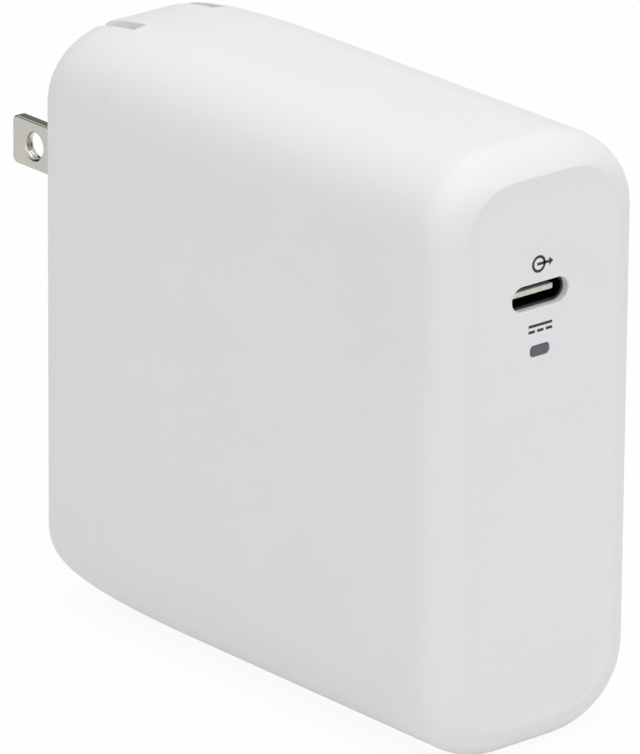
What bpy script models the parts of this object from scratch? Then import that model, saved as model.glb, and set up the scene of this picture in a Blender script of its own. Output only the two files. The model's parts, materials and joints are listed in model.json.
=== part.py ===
"""One-port wall power adapter with fold-out prongs, as an assembly of separate parts.

Units are metres. +Z is up, the port faces -Y and the prongs point towards +Y.
The origin is the middle of the flat strip that the case stands on.
"""

import math

import bmesh
import bpy
from mathutils import Vector

# Case
CASE_WIDTH = 0.0328  # across X
CASE_DEPTH = 0.0756  # front rim to back plane
CASE_HEIGHT = 0.0774
WALL = 0.0020
BASE_FLAT = 0.0080  # flat strip along the base and the top
CORNER_HEIGHT = 0.0110  # height over which the four long edges round off
CORNER_POWER = 2.16
FRONT_ROUND_DEPTH = 0.0055
FRONT_ROUND_POWER = 3.2
FRONT_TRUNCATION = 0.0005  # how far the rounding is cut short of its apex, which leaves the rim
FRONT_RIM_SIDE = 0.0042
FRONT_RIM_TOP = 0.0039
PANEL_DISH = 0.00025  # the front panel lies this far behind its rim
PANEL_DISH_WIDTH = 0.0022
BACK_CROWN_DEPTH = 0.0240
BACK_CROWN_POWER = 2.3
BACK_RIM_SIDE = 0.00205
BACK_RIM_TOP = 0.0030
COVER_DEPTH = 0.0123  # rear cover, seam to back plane
SEAM_GAP = 0.0002
LAP_LENGTH = 0.0026
LAP_THICKNESS = 0.0009
RIB_BITE = 0.0008  # inner ribs run this far into the wall they grow from

# Clearances
SEAT_GAP = 0.0002  # between parts that rest on each other
RUN_GAP = 0.0003  # round parts that turn

# Port and indicator
PORT_DROP = 0.0185  # below the top
PORT_OPENING_WIDTH = 0.0092
PORT_OPENING_HEIGHT = 0.0034
PORT_FLARE = 0.0002
RECEPTACLE_CLEARANCE = 0.00015  # round the receptacle, in the opening
RECEPTACLE_SHEET = 0.0003
RECEPTACLE_RECESS = 0.0013  # front edge behind the rim plane
RECEPTACLE_LENGTH = 0.0086
TONGUE_WIDTH = 0.0067
TONGUE_THICKNESS = 0.0007
TONGUE_RECESS = 0.0006
TONGUE_BASE_LENGTH = 0.0020
INDICATOR_DROP = 0.0070  # below the port
INDICATOR_WIDTH = 0.0030
INDICATOR_TALL = 0.0014
INDICATOR_FLANGE = 0.0007
INDICATOR_FLANGE_LENGTH = 0.0008
LED_LENGTH = 0.0008
LED_INSET = 0.0005  # narrower than the light guide on each side

# Prongs and hinge
BLADE_WIDTH = 0.00635
BLADE_THICKNESS = 0.0015
BLADE_SPACING = 0.0127
BLADE_REACH = 0.0162  # beyond the back plane
BLADE_TIP_CORNER = 0.0012
BLADE_TIP_BEVEL = 0.0004
BLADE_HOLE_RADIUS = 0.0016
BLADE_HOLE_FROM_TIP = 0.0042
SHANK_WIDTH = 0.0045
TAIL_WIDTH = 0.0024
TAIL_LENGTH = 0.0010
PRONG_DROP = 0.0214  # below the top
PIVOT_DEPTH = 0.0045  # prong axis behind the back plane
ROTOR_RADIUS = 0.0039
JOURNAL_RADIUS = 0.0017
JOURNAL_LENGTH = 0.0026
BEARING_ROOM = 0.0016  # between a bearing and the case's wall
BEARING_HEIGHT = 0.0074
GROOVE_DEPTH = 0.0005
GROOVE_LENGTH = 0.0064
SLOT_CLEARANCE = 0.0004  # beside a folded blade
SLOT_FLOOR_CLEARANCE = 0.0007  # under a folded blade
POCKET_WALL = 0.0010
CARRIER_THICKNESS = 0.0015
CARRIER_CLEARANCE = 0.0015  # in front of the rotor
CARRIER_MARGIN = 0.0020  # beyond a boss
CONTACT_WIDTH = 0.0030
CONTACT_SHEET = 0.0003
DETENT_WIDTH = 0.0058
DETENT_SHEET = 0.00025
SCREW_RADIUS = 0.00095
SCREW_HEAD_RADIUS = 0.0019
SCREW_HEAD_HEIGHT = 0.0012
SCREW_LENGTH = 0.0064
BOSS_RADIUS = 0.0023
BOSS_SPACING = 0.0170

# Boards
BOARD_THICKNESS = 0.0016
BOARD_MARGIN = 0.0080  # from the case's top and base
BOARD_BACK_ROOM = 0.0039  # from the hinge carrier, for the leads
BOARD_FRONT_ROOM = 0.0020  # from the port board
RAIL_THICKNESS = 0.0010
RAIL_GRIP = 0.0010
PORT_BOARD_THICKNESS = 0.0012
PORT_BOARD_WIDTH = 0.0222
PORT_BOARD_HEIGHT = 0.0280
PORT_BOARD_RISE = 0.0091  # its top edge above the port
HEADER_PINS = 6
HEADER_PITCH = 0.0020
HEADER_BLOCK = 0.0025
HEADER_PIN = 0.0006
HEADER_RISE = 0.0040  # above the port board's lower edge

# Heat path
CHIP_HEIGHT = 0.00095
CHIP_SIDE = 0.0080
RECTIFIER_CHIP_SETBACK = 0.0095  # centre, behind the board's front edge
PAD_THICKNESS = 0.00035
PAD_GAP = 0.0001
CORE_PAD_THICKNESS = 0.0023
SPREADER_SHEET = 0.0005
SPREADER_MARGIN = 0.0137  # from the case's top and base
SPREADER_BACK_ROOM = 0.0035  # from the board's back edge
SPREADER_FRONT_ROOM = 0.0020  # beyond the board's front edge
FILM_SHEET = 0.0003
FILM_GAP = 0.0005
FILM_SIDE_ROOM = 0.0016
FILM_NOTCH_HEIGHT = 0.0100
FILM_NOTCH_LOW = 0.0090  # below the prongs' axis
LEAD_RADIUS = 0.0007
LEAD_RISE_LINE = 0.0013
LEAD_RISE_NEUTRAL = 0.0030
LEAD_LAND_INSET = 0.0014
LEAD_LAND_LINE = 0.0052  # below the prongs' axis
LEAD_LAND_NEUTRAL = 0.0015
LEAD_STEPS = 12

# Components; the ones without a length, height or radius here fill the room that is left
COMPONENT_GAP = 0.0015
THIN_GAP = 0.0004
BACK_EDGE_ROOM = 0.0025
FUSE_RADIUS = 0.0020
FUSE_LENGTH = 0.0066
FUSE_DROP = 0.0122  # below the board's top edge
VARISTOR_RADIUS = 0.0040
VARISTOR_THICKNESS = 0.0040
VARISTOR_DROP = 0.0056
HEATSINK_SHEET = 0.0015
HEATSINK_HEIGHT = 0.0164
HEATSINK_STANDOFF = 0.0190
HEATSINK_DROP = 0.0022
BRIDGE_THICKNESS = 0.0034
BRIDGE_HEIGHT = 0.0140
BRIDGE_STANDOFF = 0.0105
BOOST_HEIGHT = 0.0160
BOOST_STANDOFF = 0.0160
BOOST_DROP = 0.0038
BOOST_WALL = 0.0022
BOOST_CAPACITOR_THICKNESS = 0.0050
BOOST_CAPACITOR_STANDOFF = 0.0120
OUTPUT_RADIUS = 0.0040
OUTPUT_LENGTH = 0.0120
OUTPUT_GAP = 0.0008
OUTPUT_DROP = 0.0034
OUTPUT_FRONT_ROOM = 0.0050
BULK_COUNT = 3
BULK_GAP = 0.0010
BULK_FRONT_ROOM = 0.0020
BULK_END_ROOM = 0.0029  # from the case's wall
DISC_RADIUS = 0.0040
DISC_THICKNESS = 0.0032
DISC_EDGE = 0.0010
CHOKE_RADIUS = 0.0052
CHOKE_SECTION = 0.0030
WINDING_SHEET = 0.0011
WINDING_GAP = 0.0001
FILTER_LENGTH = 0.0130
FILTER_STANDOFF = 0.0130
CORE_FRONT_ROOM = 0.0035
CORE_YOKE = 0.0040
CORE_LIMB_SHARE = 0.1326  # each outer limb, of the core's length
CORE_LEG_SHARE = 0.435  # the centre leg's radius, of half the core's height or length
BOBBIN_SHEET = 0.0008
MOULDED_BEVEL = 0.0004

# Facets
CORNER_STEPS = 9
ROUND_STEPS = 24
SMALL_STEPS = 16

# Derived places
FRONT_Y = -CASE_DEPTH / 2
BACK_Y = CASE_DEPTH / 2
SEAM_Y = BACK_Y - COVER_DEPTH
MID_Z = CASE_HEIGHT / 2
PANEL_Y = FRONT_Y + PANEL_DISH
INNER_FRONT_Y = PANEL_Y + WALL
INNER_BACK_Y = BACK_Y - WALL
INNER_X = CASE_WIDTH / 2 - WALL
PORT_HEIGHT = CASE_HEIGHT - PORT_DROP
INDICATOR_HEIGHT = PORT_HEIGHT - INDICATOR_DROP
RECEPTACLE_WIDTH = PORT_OPENING_WIDTH - 2 * RECEPTACLE_CLEARANCE
RECEPTACLE_HEIGHT = PORT_OPENING_HEIGHT - 2 * RECEPTACLE_CLEARANCE
RECEPTACLE_Y = FRONT_Y + RECEPTACLE_RECESS
PORT_BOARD_Y = RECEPTACLE_Y + RECEPTACLE_LENGTH + SEAT_GAP
PORT_BOARD_BASE = PORT_HEIGHT + PORT_BOARD_RISE - PORT_BOARD_HEIGHT
PIVOT = Vector((0.0, BACK_Y - PIVOT_DEPTH, CASE_HEIGHT - PRONG_DROP))
BLADE_X = BLADE_SPACING / 2
ROTOR_LENGTH = 2 * (INNER_X - BEARING_ROOM - JOURNAL_LENGTH - RUN_GAP)
SLOT_WIDTH = BLADE_THICKNESS + 2 * SLOT_CLEARANCE
SLOT_FLOOR_Y = PIVOT.y - BLADE_WIDTH / 2 - SLOT_FLOOR_CLEARANCE
POCKET_BASE_Z = PIVOT.z + ROTOR_RADIUS + RUN_GAP
CARRIER_BACK_Y = PIVOT.y - ROTOR_RADIUS - CARRIER_CLEARANCE
CARRIER_FRONT_Y = CARRIER_BACK_Y - CARRIER_THICKNESS
CARRIER_WIDTH = ROTOR_LENGTH + 2 * (RUN_GAP + JOURNAL_LENGTH)
CARRIER_HEIGHT = BOSS_SPACING + 2 * CARRIER_MARGIN
PLATE_FACE = INNER_X - SEAT_GAP - SPREADER_SHEET
CHIP_FACE = PLATE_FACE - RUN_GAP - PAD_THICKNESS - PAD_GAP
BOARD_REAR_X = CHIP_FACE - CHIP_HEIGHT - SEAT_GAP
BOARD_FACE = BOARD_REAR_X - BOARD_THICKNESS
SEAT_X = BOARD_FACE - SEAT_GAP  # components sit here
BOARD_BACK = CARRIER_FRONT_Y - BOARD_BACK_ROOM
BOARD_FRONT_Y = PORT_BOARD_Y + PORT_BOARD_THICKNESS + BOARD_FRONT_ROOM
BOARD_BASE = BOARD_MARGIN
BOARD_TOP = CASE_HEIGHT - BOARD_MARGIN
BACK_COLUMN_Y = BOARD_BACK - BACK_EDGE_ROOM - VARISTOR_THICKNESS / 2
HEATSINK_Y = BACK_COLUMN_Y - VARISTOR_THICKNESS / 2 - COMPONENT_GAP - HEATSINK_SHEET / 2
HEATSINK_Z = BOARD_TOP - HEATSINK_DROP - HEATSINK_HEIGHT / 2
BRIDGE_Y = HEATSINK_Y - HEATSINK_SHEET / 2 - THIN_GAP - BRIDGE_THICKNESS / 2
OUTPUT_Y = BOARD_FRONT_Y + OUTPUT_FRONT_ROOM + OUTPUT_RADIUS
BOOST_FRONT_Y = OUTPUT_Y + OUTPUT_RADIUS + COMPONENT_GAP
BOOST_BACK_Y = BRIDGE_Y - BRIDGE_THICKNESS / 2 - COMPONENT_GAP
BOOST_Y = (BOOST_FRONT_Y + BOOST_BACK_Y) / 2
BOOST_Z = BOARD_TOP - BOOST_DROP - BOOST_HEIGHT / 2
BOOST_CAPACITOR_Y = BOARD_BACK - COMPONENT_GAP - BOOST_CAPACITOR_THICKNESS / 2
BULK_FRONT_Y = BOARD_FRONT_Y + BULK_FRONT_ROOM
BULK_BACK_Y = BOOST_CAPACITOR_Y - BOOST_CAPACITOR_THICKNESS / 2 - THIN_GAP
BULK_PITCH = (BULK_BACK_Y - BULK_FRONT_Y + BULK_GAP) / BULK_COUNT
BULK_RADIUS = (BULK_PITCH - BULK_GAP) / 2
BULK_LENGTH = SEAT_X + INNER_X - BULK_END_ROOM
BULK_Z = BOARD_BASE + RAIL_GRIP + SEAT_GAP + BULK_RADIUS
BULK_TOP = BULK_Z + BULK_RADIUS
DISC_BASE = BULK_TOP + COMPONENT_GAP
BOOST_CAPACITOR_BASE = BOARD_BASE + RAIL_GRIP + SEAT_GAP
BOOST_CAPACITOR_TOP = BULK_TOP + COMPONENT_GAP - THIN_GAP
CHOKE_REACH = CHOKE_RADIUS + CHOKE_SECTION / 2 + WINDING_SHEET
CHOKE_Y = BOARD_BACK - CHOKE_REACH
CHOKE_Z = BULK_TOP + COMPONENT_GAP + CHOKE_REACH
FILTER_BASE = CHOKE_Z + CHOKE_REACH + COMPONENT_GAP
FILTER_TOP = HEATSINK_Z - HEATSINK_HEIGHT / 2 - COMPONENT_GAP
CORE_BASE = DISC_BASE + DISC_THICKNESS + COMPONENT_GAP
CORE_TOP = BOOST_Z - BOOST_HEIGHT / 2 - COMPONENT_GAP
CORE_FRONT_Y = BOARD_FRONT_Y + CORE_FRONT_ROOM
CORE_BACK_Y = CHOKE_Y - CHOKE_REACH - COMPONENT_GAP
CORE_STANDOFF = SEAT_X + PLATE_FACE - 2 * SEAT_GAP - CORE_PAD_THICKNESS
CORE_Y = (CORE_FRONT_Y + CORE_BACK_Y) / 2
CORE_Z = (CORE_BASE + CORE_TOP) / 2
CORE_LIMB = CORE_LIMB_SHARE * (CORE_BACK_Y - CORE_FRONT_Y)
CORE_LEG_RADIUS = CORE_LEG_SHARE * min(CORE_TOP - CORE_BASE, CORE_BACK_Y - CORE_FRONT_Y) / 2


# ---------------------------------------------------------------- helpers


def clear_scene():
    for obj in list(bpy.data.objects):
        bpy.data.objects.remove(obj, do_unlink=True)


def make_material(name, color, roughness, metallic=0.0):
    material = bpy.data.materials.new(name)
    material.use_nodes = True
    shader = material.node_tree.nodes["Principled BSDF"]
    shader.inputs["Base Color"].default_value = (*color, 1.0)
    shader.inputs["Roughness"].default_value = roughness
    shader.inputs["Metallic"].default_value = metallic
    return material


def make_materials():
    return {
        "case": make_material("case_plastic", (0.80, 0.81, 0.82), 0.42),
        "rotor": make_material("rotor_plastic", (0.78, 0.79, 0.80), 0.40),
        "nickel": make_material("nickel", (0.66, 0.64, 0.60), 0.25, 1.0),
        "steel": make_material("steel", (0.58, 0.58, 0.59), 0.30, 1.0),
        "copper": make_material("copper", (0.72, 0.42, 0.26), 0.35, 1.0),
        "aluminium": make_material("aluminium", (0.72, 0.73, 0.75), 0.38, 1.0),
        "board": make_material("board", (0.05, 0.22, 0.10), 0.50),
        "ferrite": make_material("ferrite", (0.06, 0.06, 0.065), 0.60),
        "tape": make_material("tape", (0.80, 0.66, 0.12), 0.45),
        "sleeve": make_material("sleeve", (0.03, 0.03, 0.04), 0.40),
        "yellow": make_material("yellow_case", (0.78, 0.62, 0.10), 0.50),
        "blue": make_material("blue_epoxy", (0.05, 0.16, 0.42), 0.45),
        "chip": make_material("chip", (0.03, 0.03, 0.03), 0.55),
        "pad": make_material("pad", (0.45, 0.52, 0.60), 0.80),
        "film": make_material("film", (0.04, 0.04, 0.04), 0.35),
        "guide": make_material("light_guide", (0.30, 0.30, 0.33), 0.30),
        "tongue": make_material("tongue", (0.05, 0.05, 0.05), 0.50),
        "lead": make_material("lead_jacket", (0.70, 0.05, 0.04), 0.50),
    }


def add_object(name, bm, material=None, origin=(0.0, 0.0, 0.0)):
    """Turns a bmesh in world coordinates into an object whose origin is at origin."""
    bmesh.ops.recalc_face_normals(bm, faces=bm.faces)
    bmesh.ops.translate(bm, verts=bm.verts, vec=-Vector(origin))
    mesh = bpy.data.meshes.new(name)
    bm.to_mesh(mesh)
    bm.free()
    mesh.shade_smooth()
    mesh.set_sharp_from_angle(angle=math.radians(35))
    obj = bpy.data.objects.new(name, mesh)
    obj.location = origin
    bpy.context.scene.collection.objects.link(obj)
    if material:
        mesh.materials.append(material)
    return obj


def hide_helper(obj):
    obj.hide_render = True
    obj.display_type = "WIRE"
    return obj


def combine(target, other, operation):
    """Adds an exact Boolean of target with a helper that isn't a part."""
    modifier = target.modifiers.new(f"{operation.lower()}_{other.name}", "BOOLEAN")
    modifier.operation = operation
    modifier.solver = "EXACT"
    modifier.object = hide_helper(other)


def cut(target, *cutters):
    for cutter in cutters:
        combine(target, cutter, "DIFFERENCE")


def fuse(target, *pieces):
    for piece in pieces:
        combine(target, piece, "UNION")


def box_mesh(low, high, bevel=0.0, bevel_steps=2):
    bm = bmesh.new()
    bmesh.ops.create_cube(bm, size=1.0)
    for vert in bm.verts:
        vert.co = Vector(low[i] + (vert.co[i] + 0.5) * (high[i] - low[i]) for i in range(3))
    if bevel:
        bmesh.ops.bevel(bm, geom=bm.edges[:], offset=bevel, segments=bevel_steps, affect="EDGES", profile=0.5)
    return bm


def to_world(axis, along, first, second):
    """A point from its place along an axis and its two cross coordinates, in X, Y, Z order."""
    if axis == "X":
        return Vector((along, first, second))
    if axis == "Y":
        return Vector((first, along, second))
    return Vector((first, second, along))


def loft(rings, closed=True):
    """A closed solid through rings of equal length, capped at both ends."""
    bm = bmesh.new()
    rows = [[bm.verts.new(point) for point in ring] for ring in rings]
    count = len(rows[0])
    for row, following in zip(rows, rows[1:]):
        for i in range(count):
            j = (i + 1) % count
            bm.faces.new((row[i], row[j], following[j], following[i]))
    if closed:
        bm.faces.new(rows[0][::-1])
        bm.faces.new(rows[-1])
    return bm


def prism(axis, outline, start, end):
    """An outline of (first, second) cross coordinates, extruded along an axis."""
    return loft([[to_world(axis, along, *point) for point in outline] for along in (start, end)])


def turned(axis, centre, profile, steps=ROUND_STEPS, stretch=0.0):
    """A solid of revolution from (along, radius) pairs; stretch widens it in its first cross direction."""
    rings = []
    for along, radius in profile:
        angles = (math.tau * i / steps for i in range(steps))
        rings.append(
            [
                to_world(
                    axis, along, centre[0] + (radius + stretch) * math.cos(a), centre[1] + radius * math.sin(a)
                )
                for a in angles
            ]
        )
    return loft(rings)


def can_profile(start, end, radius, edge):
    """The (along, radius) pairs of a cylinder with chamfered ends."""
    sign = 1.0 if end > start else -1.0
    return [
        (start, radius - edge),
        (start + sign * edge, radius),
        (end - sign * edge, radius),
        (end, radius - edge),
    ]


def stadium(width, height, centre, steps=SMALL_STEPS // 2):
    """An outline in X and Z with round ends."""
    radius = height / 2
    reach = width / 2 - radius
    points = []
    for side, start in ((1, -90), (-1, 90)):
        for i in range(steps + 1):
            angle = math.radians(start + 180 * i / steps)
            points.append((centre[0] + side * reach + radius * math.cos(angle), centre[1] + radius * math.sin(angle)))
    return points


def bent_strip(path, thickness):
    """The outline of a sheet that follows a path of (y, z) points, centred on it."""
    sides = ([], [])
    for i, point in enumerate(path):
        before = Vector(path[max(i - 1, 0)])
        after = Vector(path[min(i + 1, len(path) - 1)])
        along = (after - before).normalized()
        normal = Vector((-along.y, along.x)) * thickness / 2
        sides[0].append(tuple(Vector(point) + normal))
        sides[1].append(tuple(Vector(point) - normal))
    return sides[0] + sides[1][::-1]


# ---------------------------------------------------------------- case surfaces


def superellipse_inset(depth, length, power, truncation=0.0):
    """How far the surface has drawn in at a depth behind an end plane, as a share of the rim's inset."""
    reach = (length - depth) / (length + truncation)
    reach = min(max(reach, 0.0), 1.0)
    limit = length / (length + truncation)
    full = 1 - (1 - limit**power) ** (1 / power)
    return (1 - (1 - reach**power) ** (1 / power)) / full


def case_inset(y, front_y=FRONT_Y, back_y=BACK_Y):
    """(side, top) distance that the case's surface lies inside its box at this Y."""
    front = superellipse_inset(y - front_y, FRONT_ROUND_DEPTH, FRONT_ROUND_POWER, FRONT_TRUNCATION)
    back = superellipse_inset(back_y - y, BACK_CROWN_DEPTH, BACK_CROWN_POWER)
    return (
        FRONT_RIM_SIDE * front + BACK_RIM_SIDE * back,
        FRONT_RIM_TOP * front + BACK_RIM_TOP * back,
    )


def section(y, side, top):
    """The case's cross-section at Y, drawn in by side and top, as a ring seen from the front."""
    half_width = CASE_WIDTH / 2 - side
    corner_width = half_width - BASE_FLAT / 2
    corner_height = max(CORNER_HEIGHT - top, WALL / 2)
    half_height = CASE_HEIGHT / 2 - top
    power = 2 / CORNER_POWER
    ring = []
    for x_sign, z_sign in ((1, 1), (-1, 1), (-1, -1), (1, -1)):
        quarter = []
        for i in range(CORNER_STEPS + 1):
            angle = math.pi / 2 * i / CORNER_STEPS
            x = half_width - corner_width + corner_width * max(math.cos(angle), 0.0) ** power
            z = half_height - corner_height + corner_height * math.sin(angle) ** power
            quarter.append(Vector((x_sign * x, y, MID_Z + z_sign * z)))
        ring += quarter if x_sign == z_sign else quarter[::-1]
    return ring


def outer_ring(y, offset=0.0):
    side, top = case_inset(y)
    return section(y, side + offset, top + offset)


def inner_ring(y, offset=WALL):
    side, top = case_inset(y, INNER_FRONT_Y, INNER_BACK_Y)
    return section(y, side + offset, top + offset)


def front_stations(plane):
    """Y values that resolve the front rounding, from its rim back."""
    return [plane + FRONT_ROUND_DEPTH * share for share in (0.0, 0.03, 0.09, 0.2, 0.38, 0.62, 1.0)]


def back_stations(plane, reach):
    """Y values that resolve the crown near the back, within reach of its plane, from the front."""
    steps = (0.0, 0.004, 0.012, 0.03, 0.07, 0.15, 0.3, 0.55)
    depths = [BACK_CROWN_DEPTH * step for step in steps]
    return [plane - depth for depth in depths if depth < reach][::-1]


def lap_ring(y, out):
    """A ring inside the wall at the seam, where the cover's lap slides into the shell."""
    return inner_ring(y, WALL - out)


def case_core():
    """The case's volume less most of its wall, for trimming ribs that grow from it."""
    stations = front_stations(FRONT_Y + RIB_BITE)[:-1] + back_stations(BACK_Y - RIB_BITE, BACK_CROWN_DEPTH)
    rings = []
    for y in stations:
        side, top = case_inset(y, FRONT_Y + RIB_BITE, BACK_Y - RIB_BITE)
        rings.append(section(y, side + RIB_BITE, top + RIB_BITE))
    return hide_helper(add_object("trim_core", loft(rings)))


# ---------------------------------------------------------------- housing


def front_shell(materials, core):
    edge = SEAM_Y - SEAM_GAP / 2
    lap_floor = edge - LAP_LENGTH
    inner = [y for y in front_stations(INNER_FRONT_Y) if y < lap_floor]
    rings = [inner_ring(y) for y in inner]
    rings.append(inner_ring(lap_floor))
    rings.append(lap_ring(lap_floor, LAP_THICKNESS + SEAT_GAP))
    rings.append(lap_ring(edge, LAP_THICKNESS + SEAT_GAP))
    crown = [y for y in back_stations(BACK_Y, BACK_CROWN_DEPTH) if y < edge]
    rings.append(outer_ring(edge))
    rings += [outer_ring(y) for y in crown[::-1]]
    rings.append(outer_ring(BACK_Y - BACK_CROWN_DEPTH))
    rings += [outer_ring(y) for y in front_stations(FRONT_Y)[::-1]]
    side, top = case_inset(FRONT_Y)
    for share, fall in ((0.5, 0.5), (1.0, 1.0)):
        grow = PANEL_DISH_WIDTH * share
        rings.append(section(FRONT_Y + PANEL_DISH * fall, side + grow, top + grow))
    shell = add_object("front_shell", loft(rings), materials["case"])
    fuse(shell, *board_rails(core))
    cut(shell, port_opening(), indicator_opening())
    return shell


def board_rails(core):
    """Pairs of ribs at the top and the base that the main board slides between."""
    rails = []
    for at_top in (True, False):
        for outer in (True, False):
            x = BOARD_REAR_X + SEAT_GAP if outer else SEAT_X - RAIL_THICKNESS
            low_z = BOARD_TOP - RAIL_GRIP if at_top else 0.0
            high_z = CASE_HEIGHT if at_top else BOARD_BASE + RAIL_GRIP
            name = f"rail_{'top' if at_top else 'base'}_{'outer' if outer else 'inner'}"
            low = (x, BOARD_FRONT_Y + RAIL_GRIP, low_z)
            high = (x + RAIL_THICKNESS, SEAM_Y - LAP_LENGTH - RAIL_GRIP, high_z)
            rail = add_object(name, box_mesh(low, high))
            combine(rail, core, "INTERSECT")
            rails.append(rail)
    return rails


def port_opening():
    centre = (0.0, PORT_HEIGHT)
    flare_end = PANEL_Y + PORT_FLARE
    rings = []
    for y, grow in (
        (FRONT_Y - WALL, PORT_FLARE),
        (PANEL_Y, PORT_FLARE),
        (flare_end, 0.0),
        (INNER_FRONT_Y + WALL, 0.0),
    ):
        outline = stadium(PORT_OPENING_WIDTH + 2 * grow, PORT_OPENING_HEIGHT + 2 * grow, centre)
        rings.append([to_world("Y", y, *point) for point in outline])
    return add_object("port_cutter", loft(rings))


def indicator_opening():
    outline = stadium(
        INDICATOR_WIDTH + 2 * SEAT_GAP, INDICATOR_TALL + 2 * SEAT_GAP, (0.0, INDICATOR_HEIGHT)
    )
    return add_object("indicator_cutter", prism("Y", outline, FRONT_Y - WALL, INNER_FRONT_Y + WALL))


def rear_cover(materials, core):
    edge = SEAM_Y + SEAM_GAP / 2
    lap_end = edge - LAP_LENGTH
    rings = [inner_ring(y) for y in back_stations(INNER_BACK_Y, INNER_BACK_Y - edge)[::-1]]
    rings.append(inner_ring(edge))
    rings.append(lap_ring(lap_end, 0.0))
    rings.append(lap_ring(lap_end, LAP_THICKNESS))
    rings.append(lap_ring(edge, LAP_THICKNESS))
    rings.append(outer_ring(edge))
    rings += [outer_ring(y) for y in back_stations(BACK_Y, COVER_DEPTH - SEAM_GAP)]
    cover = add_object("rear_cover", loft(rings), materials["case"])
    for side in (-1, 1):
        fuse(cover, slot_pocket(side, core), bearing_saddle(side))
    for upper in (True, False):
        fuse(cover, screw_boss(upper))
    for side in (-1, 1):
        cut(cover, blade_slot(side))
    cut(cover, rotor_window(), bearing_bore())
    for upper in (True, False):
        cut(cover, screw_pilot(upper))
    return cover


def slot_pocket(side, core):
    """The box inside the cover that a folded blade lies in."""
    reach = SLOT_WIDTH / 2 + POCKET_WALL
    x = sorted((side * (BLADE_X - reach), side * (BLADE_X + reach)))
    low = (x[0], SLOT_FLOOR_Y - POCKET_WALL, POCKET_BASE_Z)
    high = (x[1], BACK_Y, CASE_HEIGHT)
    pocket = add_object(f"pocket_{'left' if side < 0 else 'right'}", box_mesh(low, high))
    combine(pocket, core, "INTERSECT")
    return pocket


def blade_slot(side):
    """The slot of one blade: through the back wall and out at the top edge."""
    x = sorted((side * BLADE_X - SLOT_WIDTH / 2, side * BLADE_X + SLOT_WIDTH / 2))
    low = (x[0], SLOT_FLOOR_Y, PIVOT.z - BLADE_WIDTH / 2 - SEAT_GAP * 2)
    high = (x[1], BACK_Y + WALL, CASE_HEIGHT + WALL)
    return add_object(f"slot_cutter_{'left' if side < 0 else 'right'}", box_mesh(low, high))


def rotor_window():
    """The opening in the back wall where the rotor's barrel shows."""
    half_height = math.sqrt(ROTOR_RADIUS**2 - (INNER_BACK_Y - PIVOT.y) ** 2) + RUN_GAP
    half_length = ROTOR_LENGTH / 2 + RUN_GAP
    low = (-half_length, PIVOT.y, PIVOT.z - half_height)
    high = (half_length, BACK_Y + WALL, PIVOT.z + half_height)
    return add_object("rotor_window_cutter", box_mesh(low, high))


def bearing_saddle(side):
    """The half bearing that grows from the back wall behind one journal."""
    inner = ROTOR_LENGTH / 2 + RUN_GAP
    x = sorted((side * inner, side * (inner + JOURNAL_LENGTH)))
    low = (x[0], PIVOT.y + SEAT_GAP / 2, PIVOT.z - BEARING_HEIGHT / 2)
    high = (x[1], INNER_BACK_Y + RIB_BITE, PIVOT.z + BEARING_HEIGHT / 2)
    return add_object(f"saddle_{'left' if side < 0 else 'right'}", box_mesh(low, high))


def bearing_bore():
    reach = ROTOR_LENGTH / 2 + JOURNAL_LENGTH + WALL / 2
    profile = [(-reach, JOURNAL_RADIUS + RUN_GAP / 2), (reach, JOURNAL_RADIUS + RUN_GAP / 2)]
    return add_object("bearing_cutter", turned("X", (PIVOT.y, PIVOT.z), profile, SMALL_STEPS))


def boss_height(upper):
    return PIVOT.z + (BOSS_SPACING / 2 if upper else -BOSS_SPACING / 2)


def screw_boss(upper):
    profile = [(CARRIER_BACK_Y + SEAT_GAP, BOSS_RADIUS), (INNER_BACK_Y + RIB_BITE, BOSS_RADIUS)]
    name = f"boss_{'upper' if upper else 'lower'}"
    return add_object(name, turned("Y", (0.0, boss_height(upper)), profile, SMALL_STEPS))


def screw_pilot(upper):
    start = CARRIER_BACK_Y - WALL
    profile = [(start, SCREW_RADIUS + SEAT_GAP), (INNER_BACK_Y - SEAT_GAP, SCREW_RADIUS + SEAT_GAP)]
    name = f"pilot_{'upper' if upper else 'lower'}"
    return add_object(name, turned("Y", (0.0, boss_height(upper)), profile, SMALL_STEPS))


# ---------------------------------------------------------------- prongs and hinge


def prong_blade(side, materials):
    """A flat blade with a drilled tip, a shank through the rotor and a contact tail."""
    tip = BACK_Y + BLADE_REACH
    shoulder = PIVOT.y + math.sqrt(ROTOR_RADIUS**2 - (SHANK_WIDTH / 2) ** 2) + SEAT_GAP
    tail = PIVOT.y - ROTOR_RADIUS
    half = BLADE_WIDTH / 2
    corner = BLADE_TIP_CORNER
    upper = [
        (tail - TAIL_LENGTH, TAIL_WIDTH / 2),
        (tail, TAIL_WIDTH / 2),
        (tail, SHANK_WIDTH / 2),
        (shoulder, SHANK_WIDTH / 2),
        (shoulder, half),
    ]
    for i in range(5):
        angle = math.pi / 2 * (1 - i / 4)
        upper.append((tip - corner + corner * math.cos(angle), half - corner + corner * math.sin(angle)))
    outline = [(y, PIVOT.z + z) for y, z in upper] + [(y, PIVOT.z - z) for y, z in upper[::-1]]
    middle = side * BLADE_X
    thin = BLADE_THICKNESS / 2
    name = f"blade_{'left' if side < 0 else 'right'}"
    blade = add_object(
        name, prism("X", outline, middle - thin, middle + thin), materials["nickel"], blade_origin(side)
    )
    cut(blade, blade_hole(side, tip), *tip_bevels(side, tip))
    return blade


def blade_origin(side):
    return (side * BLADE_X, PIVOT.y, PIVOT.z)


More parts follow.
